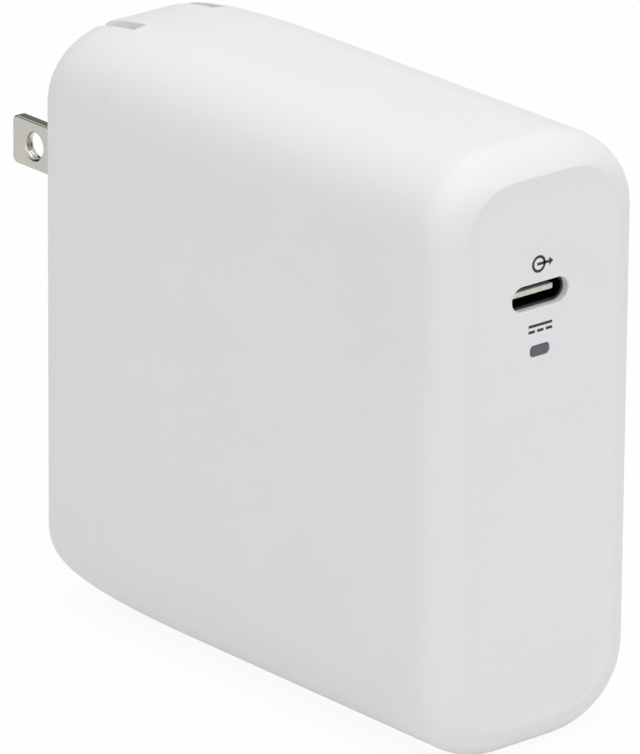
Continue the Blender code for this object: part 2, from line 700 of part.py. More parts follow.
def blade_hole(side, tip):
    middle = side * BLADE_X
    flare = BLADE_HOLE_RADIUS + BLADE_TIP_BEVEL
    depth = BLADE_THICKNESS / 2
    profile = [
        (middle - 2 * depth, flare),
        (middle - depth, flare),
        (middle - depth + BLADE_TIP_BEVEL, BLADE_HOLE_RADIUS),
        (middle + depth - BLADE_TIP_BEVEL, BLADE_HOLE_RADIUS),
        (middle + depth, flare),
        (middle + 2 * depth, flare),
    ]
    name = f"hole_cutter_{'left' if side < 0 else 'right'}"
    return add_object(name, turned("X", (tip - BLADE_HOLE_FROM_TIP, PIVOT.z), profile, ROUND_STEPS))


def tip_bevels(side, tip):
    """Two wedges that take the blade's tip down on both faces."""
    wedges = []
    length = 3 * BLADE_TIP_BEVEL
    for face in (-1, 1):
        x = side * BLADE_X + face * BLADE_THICKNESS / 2
        inner = x - face * BLADE_TIP_BEVEL
        outer = x + face * BLADE_THICKNESS
        outline = [(x, tip - length), (inner, tip), (inner, tip + length), (outer, tip + length), (outer, tip - length)]
        name = f"bevel_{'left' if side < 0 else 'right'}_{'in' if face < 0 else 'out'}"
        wedges.append(
            add_object(name, prism("Z", outline, PIVOT.z - BLADE_WIDTH, PIVOT.z + BLADE_WIDTH))
        )
    return wedges


def prong_rotor(materials):
    """The insulating barrel that carries both blades, with a journal at each end."""
    half = ROTOR_LENGTH / 2
    edge = RUN_GAP
    end = half + JOURNAL_LENGTH - SEAT_GAP
    profile = [
        (-end, JOURNAL_RADIUS - edge),
        (-end + edge, JOURNAL_RADIUS),
        (-half, JOURNAL_RADIUS),
        (-half, ROTOR_RADIUS - edge),
        (-half + edge, ROTOR_RADIUS),
        (half - edge, ROTOR_RADIUS),
        (half, ROTOR_RADIUS - edge),
        (half, JOURNAL_RADIUS),
        (end - edge, JOURNAL_RADIUS),
        (end, JOURNAL_RADIUS - edge),
    ]
    rotor = add_object("prong_rotor", turned("X", (PIVOT.y, PIVOT.z), profile), materials["rotor"], PIVOT)
    for side in (-1, 1):
        cut(rotor, shank_cutter(side))
    cut(rotor, groove_cutter("rest"), groove_cutter("folded"))
    return rotor


def shank_cutter(side):
    gap = SEAT_GAP / 2
    half = BLADE_THICKNESS / 2 + gap
    low = (side * BLADE_X - half, PIVOT.y - 2 * ROTOR_RADIUS, PIVOT.z - SHANK_WIDTH / 2 - gap)
    high = (side * BLADE_X + half, PIVOT.y + 2 * ROTOR_RADIUS, PIVOT.z + SHANK_WIDTH / 2 + gap)
    return add_object(f"shank_cutter_{'left' if side < 0 else 'right'}", box_mesh(low, high))


def groove_cutter(pose):
    """The groove that the detent spring sits in at this pose: it faces the spring there."""
    tip = ROTOR_RADIUS - GROOVE_DEPTH
    mouth = ROTOR_RADIUS + GROOVE_DEPTH
    spread = 2 * GROOVE_DEPTH * 2
    if pose == "rest":
        outline = [(-tip, 0.0), (-mouth, spread), (-mouth, -spread)]
    else:
        outline = [(0.0, tip), (spread, mouth), (-spread, mouth)]
    outline = [(PIVOT.y + y, PIVOT.z + z) for y, z in outline]
    return add_object(f"groove_cutter_{pose}", prism("X", outline, -GROOVE_LENGTH / 2, GROOVE_LENGTH / 2))


def hinge_carrier(materials):
    """The bracket that closes both bearings and holds the springs, screwed to the cover's bosses."""
    half = CARRIER_WIDTH / 2
    low = (-half, CARRIER_FRONT_Y, PIVOT.z - CARRIER_HEIGHT / 2)
    high = (half, CARRIER_BACK_Y, PIVOT.z + CARRIER_HEIGHT / 2)
    carrier = add_object("hinge_carrier", box_mesh(low, high), materials["rotor"])
    for side in (-1, 1):
        fuse(carrier, bearing_cheek(side))
    cut(carrier, bearing_bore_copy())
    for side in (-1, 1):
        cut(carrier, contact_window(side))
    for upper in (True, False):
        cut(carrier, carrier_hole(upper))
    return carrier


def bearing_cheek(side):
    inner = ROTOR_LENGTH / 2 + RUN_GAP
    x = sorted((side * inner, side * (inner + JOURNAL_LENGTH)))
    low = (x[0], CARRIER_BACK_Y - RIB_BITE, PIVOT.z - BEARING_HEIGHT / 2)
    high = (x[1], PIVOT.y - SEAT_GAP / 2, PIVOT.z + BEARING_HEIGHT / 2)
    return add_object(f"cheek_{'left' if side < 0 else 'right'}", box_mesh(low, high))


def bearing_bore_copy():
    cutter = bearing_bore()
    cutter.name = "bearing_cutter_carrier"
    return cutter


def contact_window(side):
    """The hole in the bracket that a contact spring reaches through."""
    reach = CONTACT_WIDTH / 2 + SEAT_GAP * 2
    low = (side * BLADE_X - reach, CARRIER_FRONT_Y - WALL, PIVOT.z - BLADE_WIDTH * 0.6)
    high = (side * BLADE_X + reach, CARRIER_BACK_Y + WALL / 2, PIVOT.z + BLADE_WIDTH * 0.6)
    return add_object(f"contact_window_{'left' if side < 0 else 'right'}", box_mesh(low, high))


def carrier_hole(upper):
    profile = [(CARRIER_FRONT_Y - WALL, SCREW_RADIUS + SEAT_GAP), (CARRIER_BACK_Y + WALL / 2, SCREW_RADIUS + SEAT_GAP)]
    name = f"carrier_hole_{'upper' if upper else 'lower'}"
    return add_object(name, turned("Y", (0.0, boss_height(upper)), profile, SMALL_STEPS))


def carrier_screw(upper, materials):
    """A pan-head screw through the bracket into its boss, with a cross slot."""
    head = CARRIER_FRONT_Y - SEAT_GAP
    top = head - SCREW_HEAD_HEIGHT
    edge = SCREW_HEAD_HEIGHT / 4
    tip = head + SCREW_LENGTH
    profile = [
        (top, SCREW_HEAD_RADIUS - edge),
        (top + edge, SCREW_HEAD_RADIUS),
        (head, SCREW_HEAD_RADIUS),
        (head, SCREW_RADIUS),
        (tip - SCREW_RADIUS, SCREW_RADIUS),
        (tip, SCREW_RADIUS / 3),
    ]
    z = boss_height(upper)
    name = f"carrier_screw_{'upper' if upper else 'lower'}"
    screw = add_object(name, turned("Y", (0.0, z), profile, SMALL_STEPS), materials["steel"])
    slot = SCREW_HEAD_RADIUS * 0.6
    thin = SCREW_HEAD_RADIUS * 0.15
    for turn, (half_x, half_z) in enumerate(((slot, thin), (thin, slot))):
        low = (-half_x, top - edge, z - half_z)
        high = (half_x, top + 2 * edge, z + half_z)
        cut(screw, add_object(f"{name}_slot_{turn}", box_mesh(low, high)))
    return screw


def contact_spring(side, materials):
    """A leaf from the bracket's face, through its window, to the blade's tail."""
    face = CARRIER_FRONT_Y - SEAT_GAP - CONTACT_SHEET / 2
    tail_end = PIVOT.y - ROTOR_RADIUS - TAIL_LENGTH
    touch = tail_end - SEAT_GAP - CONTACT_SHEET / 2
    middle = (face + touch) / 2
    base = PIVOT.z - BLADE_WIDTH * 1.1
    path = [
        (face, base),
        (face, PIVOT.z - BLADE_WIDTH * 0.62),
        (middle, PIVOT.z - BLADE_WIDTH * 0.38),
        (touch, PIVOT.z - BLADE_WIDTH * 0.1),
        (touch, PIVOT.z + BLADE_WIDTH * 0.1),
        (middle, PIVOT.z + BLADE_WIDTH * 0.34),
    ]
    outline = bent_strip(path, CONTACT_SHEET)
    start = side * BLADE_X - CONTACT_WIDTH / 2
    name = f"contact_spring_{'left' if side < 0 else 'right'}"
    return add_object(name, prism("X", outline, start, start + CONTACT_WIDTH), materials["copper"])


def detent_spring(materials):
    """The arched leaf that holds the rotor open or folded."""
    seat = CARRIER_BACK_Y + SEAT_GAP + DETENT_SHEET / 2
    touch = PIVOT.y - ROTOR_RADIUS - SEAT_GAP - DETENT_SHEET / 2
    reach = BOSS_SPACING / 2 - BOSS_RADIUS - RUN_GAP
    path = [
        (seat, PIVOT.z - reach),
        (seat, PIVOT.z - reach * 0.6),
        (touch, PIVOT.z - reach * 0.1),
        (touch, PIVOT.z + reach * 0.1),
        (seat, PIVOT.z + reach * 0.6),
        (seat, PIVOT.z + reach),
    ]
    outline = bent_strip(path, DETENT_SHEET)
    bm = prism("X", outline, -DETENT_WIDTH / 2, DETENT_WIDTH / 2)
    return add_object("detent_spring", bm, materials["steel"])


# ---------------------------------------------------------------- port and indicator


def usb_shell(materials):
    """The receptacle's drawn steel shell."""
    start = RECEPTACLE_Y
    end = start + RECEPTACLE_LENGTH
    shell = add_object("usb_shell", receptacle_prism(0.0, start, end), materials["steel"])
    reach = RECEPTACLE_SHEET
    cut(shell, add_object("usb_bore_cutter", receptacle_prism(RECEPTACLE_SHEET, start - reach, end + reach)))
    return shell


def receptacle_prism(inset, start, end):
    outline = stadium(RECEPTACLE_WIDTH - 2 * inset, RECEPTACLE_HEIGHT - 2 * inset, (0.0, PORT_HEIGHT))
    return prism("Y", outline, start, end)


def usb_tongue(materials):
    """The moulded tongue on its base block, inside the shell."""
    end = RECEPTACLE_Y + RECEPTACLE_LENGTH
    base = receptacle_prism(RECEPTACLE_SHEET + SEAT_GAP / 2, end - TONGUE_BASE_LENGTH, end)
    tongue = add_object("usb_tongue", base, materials["tongue"])
    low = (-TONGUE_WIDTH / 2, RECEPTACLE_Y + TONGUE_RECESS, PORT_HEIGHT - TONGUE_THICKNESS / 2)
    high = (TONGUE_WIDTH / 2, end - TONGUE_BASE_LENGTH / 2, PORT_HEIGHT + TONGUE_THICKNESS / 2)
    fuse(tongue, add_object("tongue_plate", box_mesh(low, high)))
    return tongue


def light_guide(materials):
    """The grey window of the indicator, with the flange that stops it behind the panel."""
    front = PANEL_Y
    flange = INNER_FRONT_Y + SEAT_GAP
    centre = (0.0, INDICATOR_HEIGHT)
    rings = []
    for y, grow in (
        (front, 0.0),
        (flange, 0.0),
        (flange, INDICATOR_FLANGE),
        (flange + INDICATOR_FLANGE_LENGTH, INDICATOR_FLANGE),
        (flange + INDICATOR_FLANGE_LENGTH, 0.0),
        (PORT_BOARD_Y - SEAT_GAP - LED_LENGTH - RUN_GAP, 0.0),
    ):
        outline = stadium(INDICATOR_WIDTH + 2 * grow, INDICATOR_TALL + 2 * grow, centre, 6)
        rings.append([to_world("Y", y, *point) for point in outline])
    return add_object("light_guide", loft(rings), materials["guide"])


def indicator_led(materials):
    end = PORT_BOARD_Y - SEAT_GAP
    half = INDICATOR_WIDTH / 2 - LED_INSET
    low = (-half, end - LED_LENGTH, INDICATOR_HEIGHT - INDICATOR_TALL / 2)
    high = (half, end, INDICATOR_HEIGHT + INDICATOR_TALL / 2)
    return add_object("indicator_led", box_mesh(low, high, LED_LENGTH / 8, 1), materials["tape"])


def port_board(materials):
    low = (-PORT_BOARD_WIDTH / 2, PORT_BOARD_Y, PORT_BOARD_BASE)
    high = (PORT_BOARD_WIDTH / 2, PORT_BOARD_Y + PORT_BOARD_THICKNESS, PORT_BOARD_BASE + PORT_BOARD_HEIGHT)
    return add_object("port_board", box_mesh(low, high), materials["board"])


def board_header(materials):
    """The pin header that joins the port board to the main board."""
    front = BOARD_FRONT_Y + RUN_GAP
    back = front + HEADER_BLOCK
    tip = PORT_BOARD_Y + PORT_BOARD_THICKNESS + SEAT_GAP
    base = PORT_BOARD_BASE + HEADER_RISE
    outline = [(back, base), (back, base + HEADER_PINS * HEADER_PITCH)]
    for i in reversed(range(HEADER_PINS)):
        z = base + (i + 0.5) * HEADER_PITCH
        outline += [
            (front, base + (i + 1) * HEADER_PITCH),
            (front, z + HEADER_PIN / 2),
            (tip, z + HEADER_PIN / 2),
            (tip, z - HEADER_PIN / 2),
            (front, z - HEADER_PIN / 2),
        ]
    outline.append((front, base))
    return add_object("board_header", prism("X", outline, SEAT_X - HEADER_BLOCK, SEAT_X), materials["chip"])


# ---------------------------------------------------------------- main board and components


def main_board(materials):
    low = (BOARD_FACE, BOARD_FRONT_Y, BOARD_BASE)
    high = (BOARD_REAR_X, BOARD_BACK, BOARD_TOP)
    return add_object("main_board", box_mesh(low, high), materials["board"])


def standing_box(name, y, z, length, height, standoff, material, bevel=MOULDED_BEVEL):
    """A box component, centred at (y, z) on the board and standing off it."""
    low = (SEAT_X - standoff, y - length / 2, z - height / 2)
    high = (SEAT_X, y + length / 2, z + height / 2)
    return add_object(name, box_mesh(low, high, bevel, 1), material)


def standing_can(name, y, z, radius, length, material):
    """A round capacitor on the board, with the rolled neck of its crimp near the board."""
    neck = SEAT_X - length * 0.12
    groove = radius * 0.06
    edge = radius * 0.1
    top = SEAT_X - length
    profile = [
        (SEAT_X, radius - edge),
        (SEAT_X - edge, radius),
        (neck + edge, radius),
        (neck, radius - groove),
        (neck - edge, radius),
        (top + edge, radius),
        (top, radius - edge),
        (top, radius * 0.8),
        (top + edge / 2, radius * 0.76),
    ]
    return add_object(name, turned("X", (y, z), profile), material)


def bulk_capacitors(materials):
    for i in range(BULK_COUNT):
        y = BULK_FRONT_Y + BULK_RADIUS + i * BULK_PITCH
        standing_can(f"bulk_capacitor_{i + 1}", y, BULK_Z, BULK_RADIUS, BULK_LENGTH, materials["sleeve"])


def output_capacitors(materials):
    top = BOARD_TOP - OUTPUT_DROP - OUTPUT_RADIUS
    for i in range(2):
        z = top - i * (2 * OUTPUT_RADIUS + OUTPUT_GAP)
        standing_can(f"output_capacitor_{i + 1}", OUTPUT_Y, z, OUTPUT_RADIUS, OUTPUT_LENGTH, materials["aluminium"])


def transformer_core(materials):
    """A closed ferrite frame with a round centre leg, its axis along X."""
    low = (SEAT_X - CORE_STANDOFF, CORE_FRONT_Y, CORE_BASE)
    high = (SEAT_X, CORE_BACK_Y, CORE_TOP)
    core = add_object("transformer_core", box_mesh(low, high), materials["ferrite"])
    window_low = (low[0] + CORE_YOKE, low[1] + CORE_LIMB, low[2] - CORE_LIMB)
    window_high = (high[0] - CORE_YOKE, high[1] - CORE_LIMB, high[2] + CORE_LIMB)
    cut(core, add_object("core_window", box_mesh(window_low, window_high)))
    leg = [(low[0] + CORE_YOKE / 2, CORE_LEG_RADIUS), (high[0] - CORE_YOKE / 2, CORE_LEG_RADIUS)]
    fuse(core, add_object("core_leg", turned("X", (CORE_Y, CORE_Z), leg)))
    return core


def transformer_winding(materials):
    """The taped winding on its bobbin, round the core's centre leg."""
    start = SEAT_X - CORE_STANDOFF + CORE_YOKE + SEAT_GAP
    end = SEAT_X - CORE_YOKE - SEAT_GAP
    flange = (CORE_TOP - CORE_BASE) / 2 - SEAT_GAP
    stretch = (CORE_BACK_Y - CORE_FRONT_Y) / 2 - CORE_LIMB - SEAT_GAP - flange
    profile = [
        (start, flange),
        (start + BOBBIN_SHEET, flange),
        (start + BOBBIN_SHEET, flange - BOBBIN_SHEET),
        (end - BOBBIN_SHEET, flange - BOBBIN_SHEET),
        (end - BOBBIN_SHEET, flange),
        (end, flange),
    ]
    centre = (CORE_Y, CORE_Z)
    winding = add_object(
        "transformer_winding", turned("X", centre, profile, stretch=stretch), materials["tape"]
    )
    bore = [(start - BOBBIN_SHEET, CORE_LEG_RADIUS + SEAT_GAP), (end + BOBBIN_SHEET, CORE_LEG_RADIUS + SEAT_GAP)]
    cut(winding, add_object("winding_bore", turned("X", centre, bore)))
    return winding


def ring_sector(name, centre, radius, half_section, start, sweep, material=None):
    """A square-sectioned ring or part of one, its axis along X, centre (x, y, z)."""
    full = sweep >= 360
    steps = max(3, round(sweep / 15))
    rings = []
    for i in range(steps + (0 if full else 1)):
        angle = math.radians(start + sweep * i / steps)
        direction = Vector((0.0, math.cos(angle), math.sin(angle)))
        ring = []
        for along, out in ((-1, -1), (1, -1), (1, 1), (-1, 1)):
            point = Vector(centre) + direction * (radius + out * half_section)
            ring.append(point + Vector((along * half_section, 0.0, 0.0)))
        rings.append(ring)
    bm = loft(rings, closed=not full)
    if full:
        bm.verts.ensure_lookup_table()
        last = len(rings) * 4 - 4
        for i in range(4):
            j = (i + 1) % 4
            bm.faces.new([bm.verts[k] for k in (last + i, last + j, j, i)])
    return add_object(name, bm, material)


def common_mode_choke(materials):
    """A ring core that lies against the board, with a winding on each half."""
    half = CHOKE_SECTION / 2
    outer = half + WINDING_SHEET
    centre = (SEAT_X - outer - WINDING_GAP, CHOKE_Y, CHOKE_Z)
    ring_sector("choke_core", centre, CHOKE_RADIUS, half, 0, 360, materials["ferrite"])
    for name, start in (("choke_winding_line", 100), ("choke_winding_neutral", -80)):
        winding = ring_sector(name, centre, CHOKE_RADIUS, outer, start, 150, materials["copper"])
        cut(
            winding,
            ring_sector(f"{name}_bore", centre, CHOKE_RADIUS, half + WINDING_GAP, start - 15, 180),
        )


def power_factor_stage(materials):
    """The boost inductor, a pot core round its winding, and its film capacitor."""
    low = (SEAT_X - BOOST_STANDOFF, BOOST_FRONT_Y, BOOST_Z - BOOST_HEIGHT / 2)
    high = (SEAT_X, BOOST_BACK_Y, BOOST_Z + BOOST_HEIGHT / 2)
    core = add_object("boost_core", box_mesh(low, high, MOULDED_BEVEL, 1), materials["ferrite"])
    window_low = (low[0] + BOOST_WALL, low[1] + BOOST_WALL, low[2] - BOOST_WALL)
    window_high = (high[0] - BOOST_WALL, high[1] - BOOST_WALL, high[2] + BOOST_WALL)
    cut(core, add_object("boost_window", box_mesh(window_low, window_high)))
    reach = BOOST_HEIGHT / 2 - BOOST_WALL
    stretch = (BOOST_BACK_Y - BOOST_FRONT_Y) / 2 - BOOST_WALL - SEAT_GAP - reach
    profile = [(low[0] + BOOST_WALL + SEAT_GAP, reach), (high[0] - BOOST_WALL - SEAT_GAP, reach)]
    winding = turned("X", (BOOST_Y, BOOST_Z), profile, SMALL_STEPS, stretch)
    add_object("boost_winding", winding, materials["copper"])
    standing_box(
        "boost_capacitor",
        BOOST_CAPACITOR_Y,
        (BOOST_CAPACITOR_BASE + BOOST_CAPACITOR_TOP) / 2,
        BOOST_CAPACITOR_THICKNESS,
        BOOST_CAPACITOR_TOP - BOOST_CAPACITOR_BASE,
        BOOST_CAPACITOR_STANDOFF,
        materials["yellow"],
    )


def input_parts(materials):
    """What the mains passes first: fuse, varistor, filter capacitor and bridge with its heatsink."""
    filter_y = BOARD_BACK - COMPONENT_GAP - FILTER_LENGTH / 2
    filter_z = (FILTER_BASE + FILTER_TOP) / 2
    filter_height = FILTER_TOP - FILTER_BASE
    standing_box(
        "filter_capacitor", filter_y, filter_z, FILTER_LENGTH, filter_height, FILTER_STANDOFF, materials["yellow"]
    )
    standing_box(
        "bridge_rectifier", BRIDGE_Y, HEATSINK_Z, BRIDGE_THICKNESS, BRIDGE_HEIGHT, BRIDGE_STANDOFF, materials["chip"]
    )
    standing_box(
        "heatsink",
        HEATSINK_Y,
        HEATSINK_Z,
        HEATSINK_SHEET,
        HEATSINK_HEIGHT,
        HEATSINK_STANDOFF,
        materials["aluminium"],
        HEATSINK_SHEET / 8,
    )
    can = can_profile(SEAT_X - FUSE_LENGTH, SEAT_X, FUSE_RADIUS, FUSE_RADIUS / 6)
    add_object("fuse", turned("X", (BACK_COLUMN_Y, BOARD_TOP - FUSE_DROP), can, SMALL_STEPS), materials["tape"])
    front = BACK_COLUMN_Y - VARISTOR_THICKNESS / 2
    disc = can_profile(front, front + VARISTOR_THICKNESS, VARISTOR_RADIUS, DISC_EDGE)
    centre = (SEAT_X - VARISTOR_RADIUS, BOARD_TOP - VARISTOR_DROP)
    add_object("varistor", turned("Y", centre, disc, SMALL_STEPS), materials["blue"])


def isolation_capacitor(materials):
    disc = can_profile(DISC_BASE, DISC_BASE + DISC_THICKNESS, DISC_RADIUS, DISC_EDGE)
    add_object("isolation_capacitor", turned("Z", (SEAT_X - DISC_RADIUS, CORE_Y), disc, SMALL_STEPS), materials["blue"])


def rear_chip(name, pad_name, y, z, materials):
    """A power chip on the board's far side, under its pad and the right heat spreader."""
    half = CHIP_SIDE / 2
    low = (CHIP_FACE - CHIP_HEIGHT, y - half, z - half)
    high = (CHIP_FACE, y + half, z + half)
    add_object(name, box_mesh(low, high, CHIP_HEIGHT / 6, 1), materials["chip"])
    low = (CHIP_FACE + PAD_GAP, y - half, z - half)
    high = (low[0] + PAD_THICKNESS, y + half, z + half)
    add_object(pad_name, box_mesh(low, high), materials["pad"])


def heat_path(materials):
    """Chips, pads and the two plates that spread their heat over the case's sides."""
    rear_chip("power_switch", "switch_pad", BOOST_Y, BOOST_Z, materials)
    rear_chip("rectifier_chip", "rectifier_pad", BOARD_FRONT_Y + RECTIFIER_CHIP_SETBACK, CORE_Z, materials)
    spreader("heat_spreader_right", PLATE_FACE, materials)
    spreader("heat_spreader_left", -PLATE_FACE - SPREADER_SHEET, materials)
    low = (-PLATE_FACE + SEAT_GAP, CORE_FRONT_Y + CORE_LIMB, CORE_BASE + CORE_LIMB)
    high = (SEAT_X - CORE_STANDOFF - SEAT_GAP, CORE_BACK_Y - CORE_LIMB, CORE_TOP - CORE_LIMB)
    add_object("transformer_pad", box_mesh(low, high), materials["pad"])


def spreader(name, start, materials):
    low = (start, BOARD_FRONT_Y - SPREADER_FRONT_ROOM, SPREADER_MARGIN)
    high = (start + SPREADER_SHEET, BOARD_BACK - SPREADER_BACK_ROOM, CASE_HEIGHT - SPREADER_MARGIN)
    add_object(name, box_mesh(low, high), materials["aluminium"])


def insulating_sheet(materials):
    """The film between the prong contacts and the board, notched where the leads pass."""
    half = INNER_X - FILM_SIDE_ROOM
    notch_x = BLADE_X - CONTACT_WIDTH / 2 - LEAD_RADIUS
    notch_z = PIVOT.z - FILM_NOTCH_LOW
    corner = CORNER_HEIGHT / 2
    outline = [
        (-half, BOARD_BASE + corner),
        (-half + corner, BOARD_BASE),
        (half, BOARD_BASE + corner),
        (half, notch_z),
        (notch_x, notch_z),
        (notch_x, notch_z + FILM_NOTCH_HEIGHT),
        (half, notch_z + FILM_NOTCH_HEIGHT),
        (half, BOARD_TOP - corner),
        (-half + corner, BOARD_TOP),
        (-half, BOARD_TOP - corner),
    ]
    start = BOARD_BACK + FILM_GAP
    return add_object("insulating_sheet", prism("Y", outline, start, start + FILM_SHEET), materials["film"])


def lead(name, start, end, bend, material):
    """A soldered lead: a smooth tube that leaves start sideways by bend and lands on end along Y."""
    curve = bpy.data.curves.new(name, "CURVE")
    curve.dimensions = "3D"
    curve.bevel_depth = LEAD_RADIUS
    curve.bevel_resolution = 1
    curve.use_fill_caps = True
    start, end = Vector(start), Vector(end)
    leave = start + Vector((bend, 0.0, 0.0))
    arrive = Vector((end.x, start.y, end.z))
    spline = curve.splines.new("POLY")
    spline.points.add(LEAD_STEPS - 1)
    for i, point in enumerate(spline.points):
        t = i / (LEAD_STEPS - 1)
        place = (1 - t) ** 3 * start + 3 * (1 - t) ** 2 * t * leave + 3 * (1 - t) * t**2 * arrive + t**3 * end
        point.co = (*place, 1.0)
    obj = bpy.data.objects.new(name, curve)
    bpy.context.scene.collection.objects.link(obj)
    curve.materials.append(material)
    return obj


def input_leads(materials):
    """The leads from the two contact springs, past the insulating sheet's notch, to the board."""
    start_y = CARRIER_FRONT_Y - SEAT_GAP - CONTACT_SHEET - SEAT_GAP - LEAD_RADIUS
    land_x = BOARD_FACE - SEAT_GAP - LEAD_RADIUS
    land_y = BOARD_BACK - LEAD_LAND_INSET
    base = PIVOT.z - BLADE_WIDTH
    line_start = (-BLADE_X, start_y, base + LEAD_RISE_LINE)
    line_end = (land_x, land_y, PIVOT.z - LEAD_LAND_LINE)
    lead("lead_line", line_start, line_end, BLADE_X, materials["lead"])
    neutral_start = (BLADE_X, start_y, base + LEAD_RISE_NEUTRAL)
    neutral_end = (land_x, land_y, PIVOT.z - LEAD_LAND_NEUTRAL)
    lead("lead_neutral", neutral_start, neutral_end, LEAD_RADIUS, materials["lead"])


def main():
    clear_scene()
    materials = make_materials()
    core = case_core()
    front_shell(materials, core)
    rear_cover(materials, core)
    hinge = bpy.data.objects.new("prong_axis", None)
    hinge.location = PIVOT
    bpy.context.scene.collection.objects.link(hinge)
    for side in (-1, 1):
        blade = prong_blade(side, materials)
        blade.parent = hinge
        blade.location = Vector(blade_origin(side)) - PIVOT
        contact_spring(side, materials)
    rotor = prong_rotor(materials)
    rotor.parent = hinge
    rotor.location = (0.0, 0.0, 0.0)
    hinge_carrier(materials)
    detent_spring(materials)
    for upper in (True, False):
        carrier_screw(upper, materials)
    usb_shell(materials)
    usb_tongue(materials)
    light_guide(materials)
    indicator_led(materials)
    port_board(materials)
    board_header(materials)
    main_board(materials)
    bulk_capacitors(materials)
    output_capacitors(materials)
    transformer_core(materials)
    transformer_winding(materials)
    common_mode_choke(materials)
    power_factor_stage(materials)
    input_parts(materials)
    isolation_capacitor(materials)
    heat_path(materials)
    insulating_sheet(materials)
    input_leads(materials)


main()
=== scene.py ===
"""Visual model and studio set-up of a one-port wall power adapter with fold-out prongs.

Lengths are metres. +Z is up, the port faces -Y and the prongs point towards +Y.
"""

import json
import math

import bmesh
import bpy
from mathutils import Matrix, Vector


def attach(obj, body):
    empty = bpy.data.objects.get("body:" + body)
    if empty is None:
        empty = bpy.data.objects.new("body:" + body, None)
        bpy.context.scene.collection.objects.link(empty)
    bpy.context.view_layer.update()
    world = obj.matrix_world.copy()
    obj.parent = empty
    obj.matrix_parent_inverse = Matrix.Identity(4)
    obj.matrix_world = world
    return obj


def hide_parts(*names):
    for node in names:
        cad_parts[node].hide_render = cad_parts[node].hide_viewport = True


# Case
CASE_WIDTH = 0.0328
CASE_DEPTH = 0.0756
CASE_HEIGHT = 0.0774
WALL = 0.0020
BASE_FLAT = 0.0080
CORNER_HEIGHT = 0.0110
CORNER_POWER = 2.16
FRONT_ROUND_DEPTH = 0.0055
FRONT_ROUND_POWER = 3.2
FRONT_TRUNCATION = 0.0005
FRONT_RIM_SIDE = 0.0042
FRONT_RIM_TOP = 0.0039
RIM_SOFTNESS = 0.00024  # over how far the profile's edges are rounded
TOP_RIM_DROP = 0.0033
TOP_RIM_SLOPE = 1.2
TOP_RIM_BEND = 0.0055
PANEL_DISH = 0.0003
PANEL_DISH_WIDTH = 0.0024
INNER_FRONT_SHARES = (0.0, 0.05, 0.15, 0.35, 0.65, 1.0)  # where the inner rounding has a section
BACK_CROWN_DEPTH = 0.0240
BACK_CROWN_POWER = 2.3
BACK_RIM_SIDE = 0.00205
BACK_RIM_TOP = 0.0030
COVER_DEPTH = 0.0123
SEAM_GAP = 0.00001
SEAM_EDGE = 0.00004
LAP_LENGTH = 0.0026
LAP_THICKNESS = 0.0009
LAP_CLEARANCE = 0.0002

# Port and indicator
PORT_DROP = 0.0185
PORT_WIDTH = 0.0090
PORT_HEIGHT = 0.0032
PORT_FILLET = 0.00022
PORT_LIP_DROP = 0.6  # how far the rounded edge moves down, as a share of its growth
RECEPTACLE_WIDTH = 0.0089
RECEPTACLE_HEIGHT = 0.0031
RECEPTACLE_SHEET = 0.0003
RECEPTACLE_RECESS = 0.0013
RECEPTACLE_LENGTH = 0.0086
RECEPTACLE_EDGE = 0.00012
TONGUE_WIDTH = 0.0067
TONGUE_THICKNESS = 0.0007
TONGUE_RECESS = 0.0006
TONGUE_BASE_LENGTH = 0.0020
LIP_LENGTH = 0.0009
LIP_RAISE = 0.00002
CONTACT_COUNT = 12
CONTACT_PITCH = 0.0005
CONTACT_START = 0.0011  # behind the tongue's front
CONTACT_LENGTH = 0.0034
CONTACT_THICKNESS = 0.00006
INDICATOR_DROP = 0.0070
INDICATOR_WIDTH = 0.0030
INDICATOR_TALL = 0.00132
INDICATOR_CORNER = 0.00048
INDICATOR_GAP = 0.00005
INDICATOR_EDGE = 0.00012
INDICATOR_DOME = ((-0.00002, -0.00045), (0.0, -0.00025))  # (behind the panel, growth)
INDICATOR_STEP = 0.00002
INDICATOR_FLANGE = 0.0007
INDICATOR_FLANGE_LENGTH = 0.0008
LED_ROOM = 0.0011  # from the guide's end to the receptacle's

# Marks on the panel
MARK_THICKNESS = 0.00003
MARK_RAISE = 0.000008
RING_MARK_ABOVE_PORT = 0.0040
RING_MARK_RADIUS = 0.0011
RING_MARK_SHIFT = -0.0004
RING_MARK_LINE = 0.00036
ARROW_TAIL = 0.25  # the arrow's ends, in radii from the ring's middle
ARROW_NECK = 1.5
ARROW_TIP = 2.1
ARROW_HEAD = 3  # the head's width, in lines
LINE_MARK_BELOW_PORT = 0.0041
LINE_MARK_WIDTH = 0.0038
LINE_MARK_LINE = 0.00036
LINE_MARK_GAP = 0.00036

# Prongs
BLADE_WIDTH = 0.00635
BLADE_THICKNESS = 0.0015
BLADE_SPACING = 0.0127
BLADE_REACH = 0.0162
BLADE_TIP_CORNER = 0.0009
BLADE_EDGE = 0.00022
BLADE_HOLE_RADIUS = 0.0016
BLADE_HOLE_FLARE = 0.0006
BLADE_HOLE_FROM_TIP = 0.0042
SHANK_WIDTH = 0.0045
TAIL_WIDTH = 0.0024
TAIL_LENGTH = 0.0010
PRONG_DROP = 0.0214
PIVOT_DEPTH = 0.0045
ROTOR_RADIUS = 0.0039
ROTOR_LENGTH = 0.0198
ROTOR_EDGE = 0.0003
JOURNAL_RADIUS = 0.0017
JOURNAL_LENGTH = 0.0026
GROOVE_DEPTH = 0.0005
GROOVE_LENGTH = 0.0064
SLOT_WIDTH = 0.0020
SLOT_FLOOR_CLEARANCE = 0.0004
# Painted light on the blade slots' walls: a paler base colour in place of the light that reaches
# them
SLOT_PAINTED_LIGHT_TONE = 0.97
SLOT_WALL_REACH = 1.04  # of the slot's half width
SLOT_WALL_FACING = 0.8
POCKET_WALL = 0.0010
RUN_GAP = 0.0003
SEAT_GAP = 0.0002
BEARING_HEIGHT = 0.0074
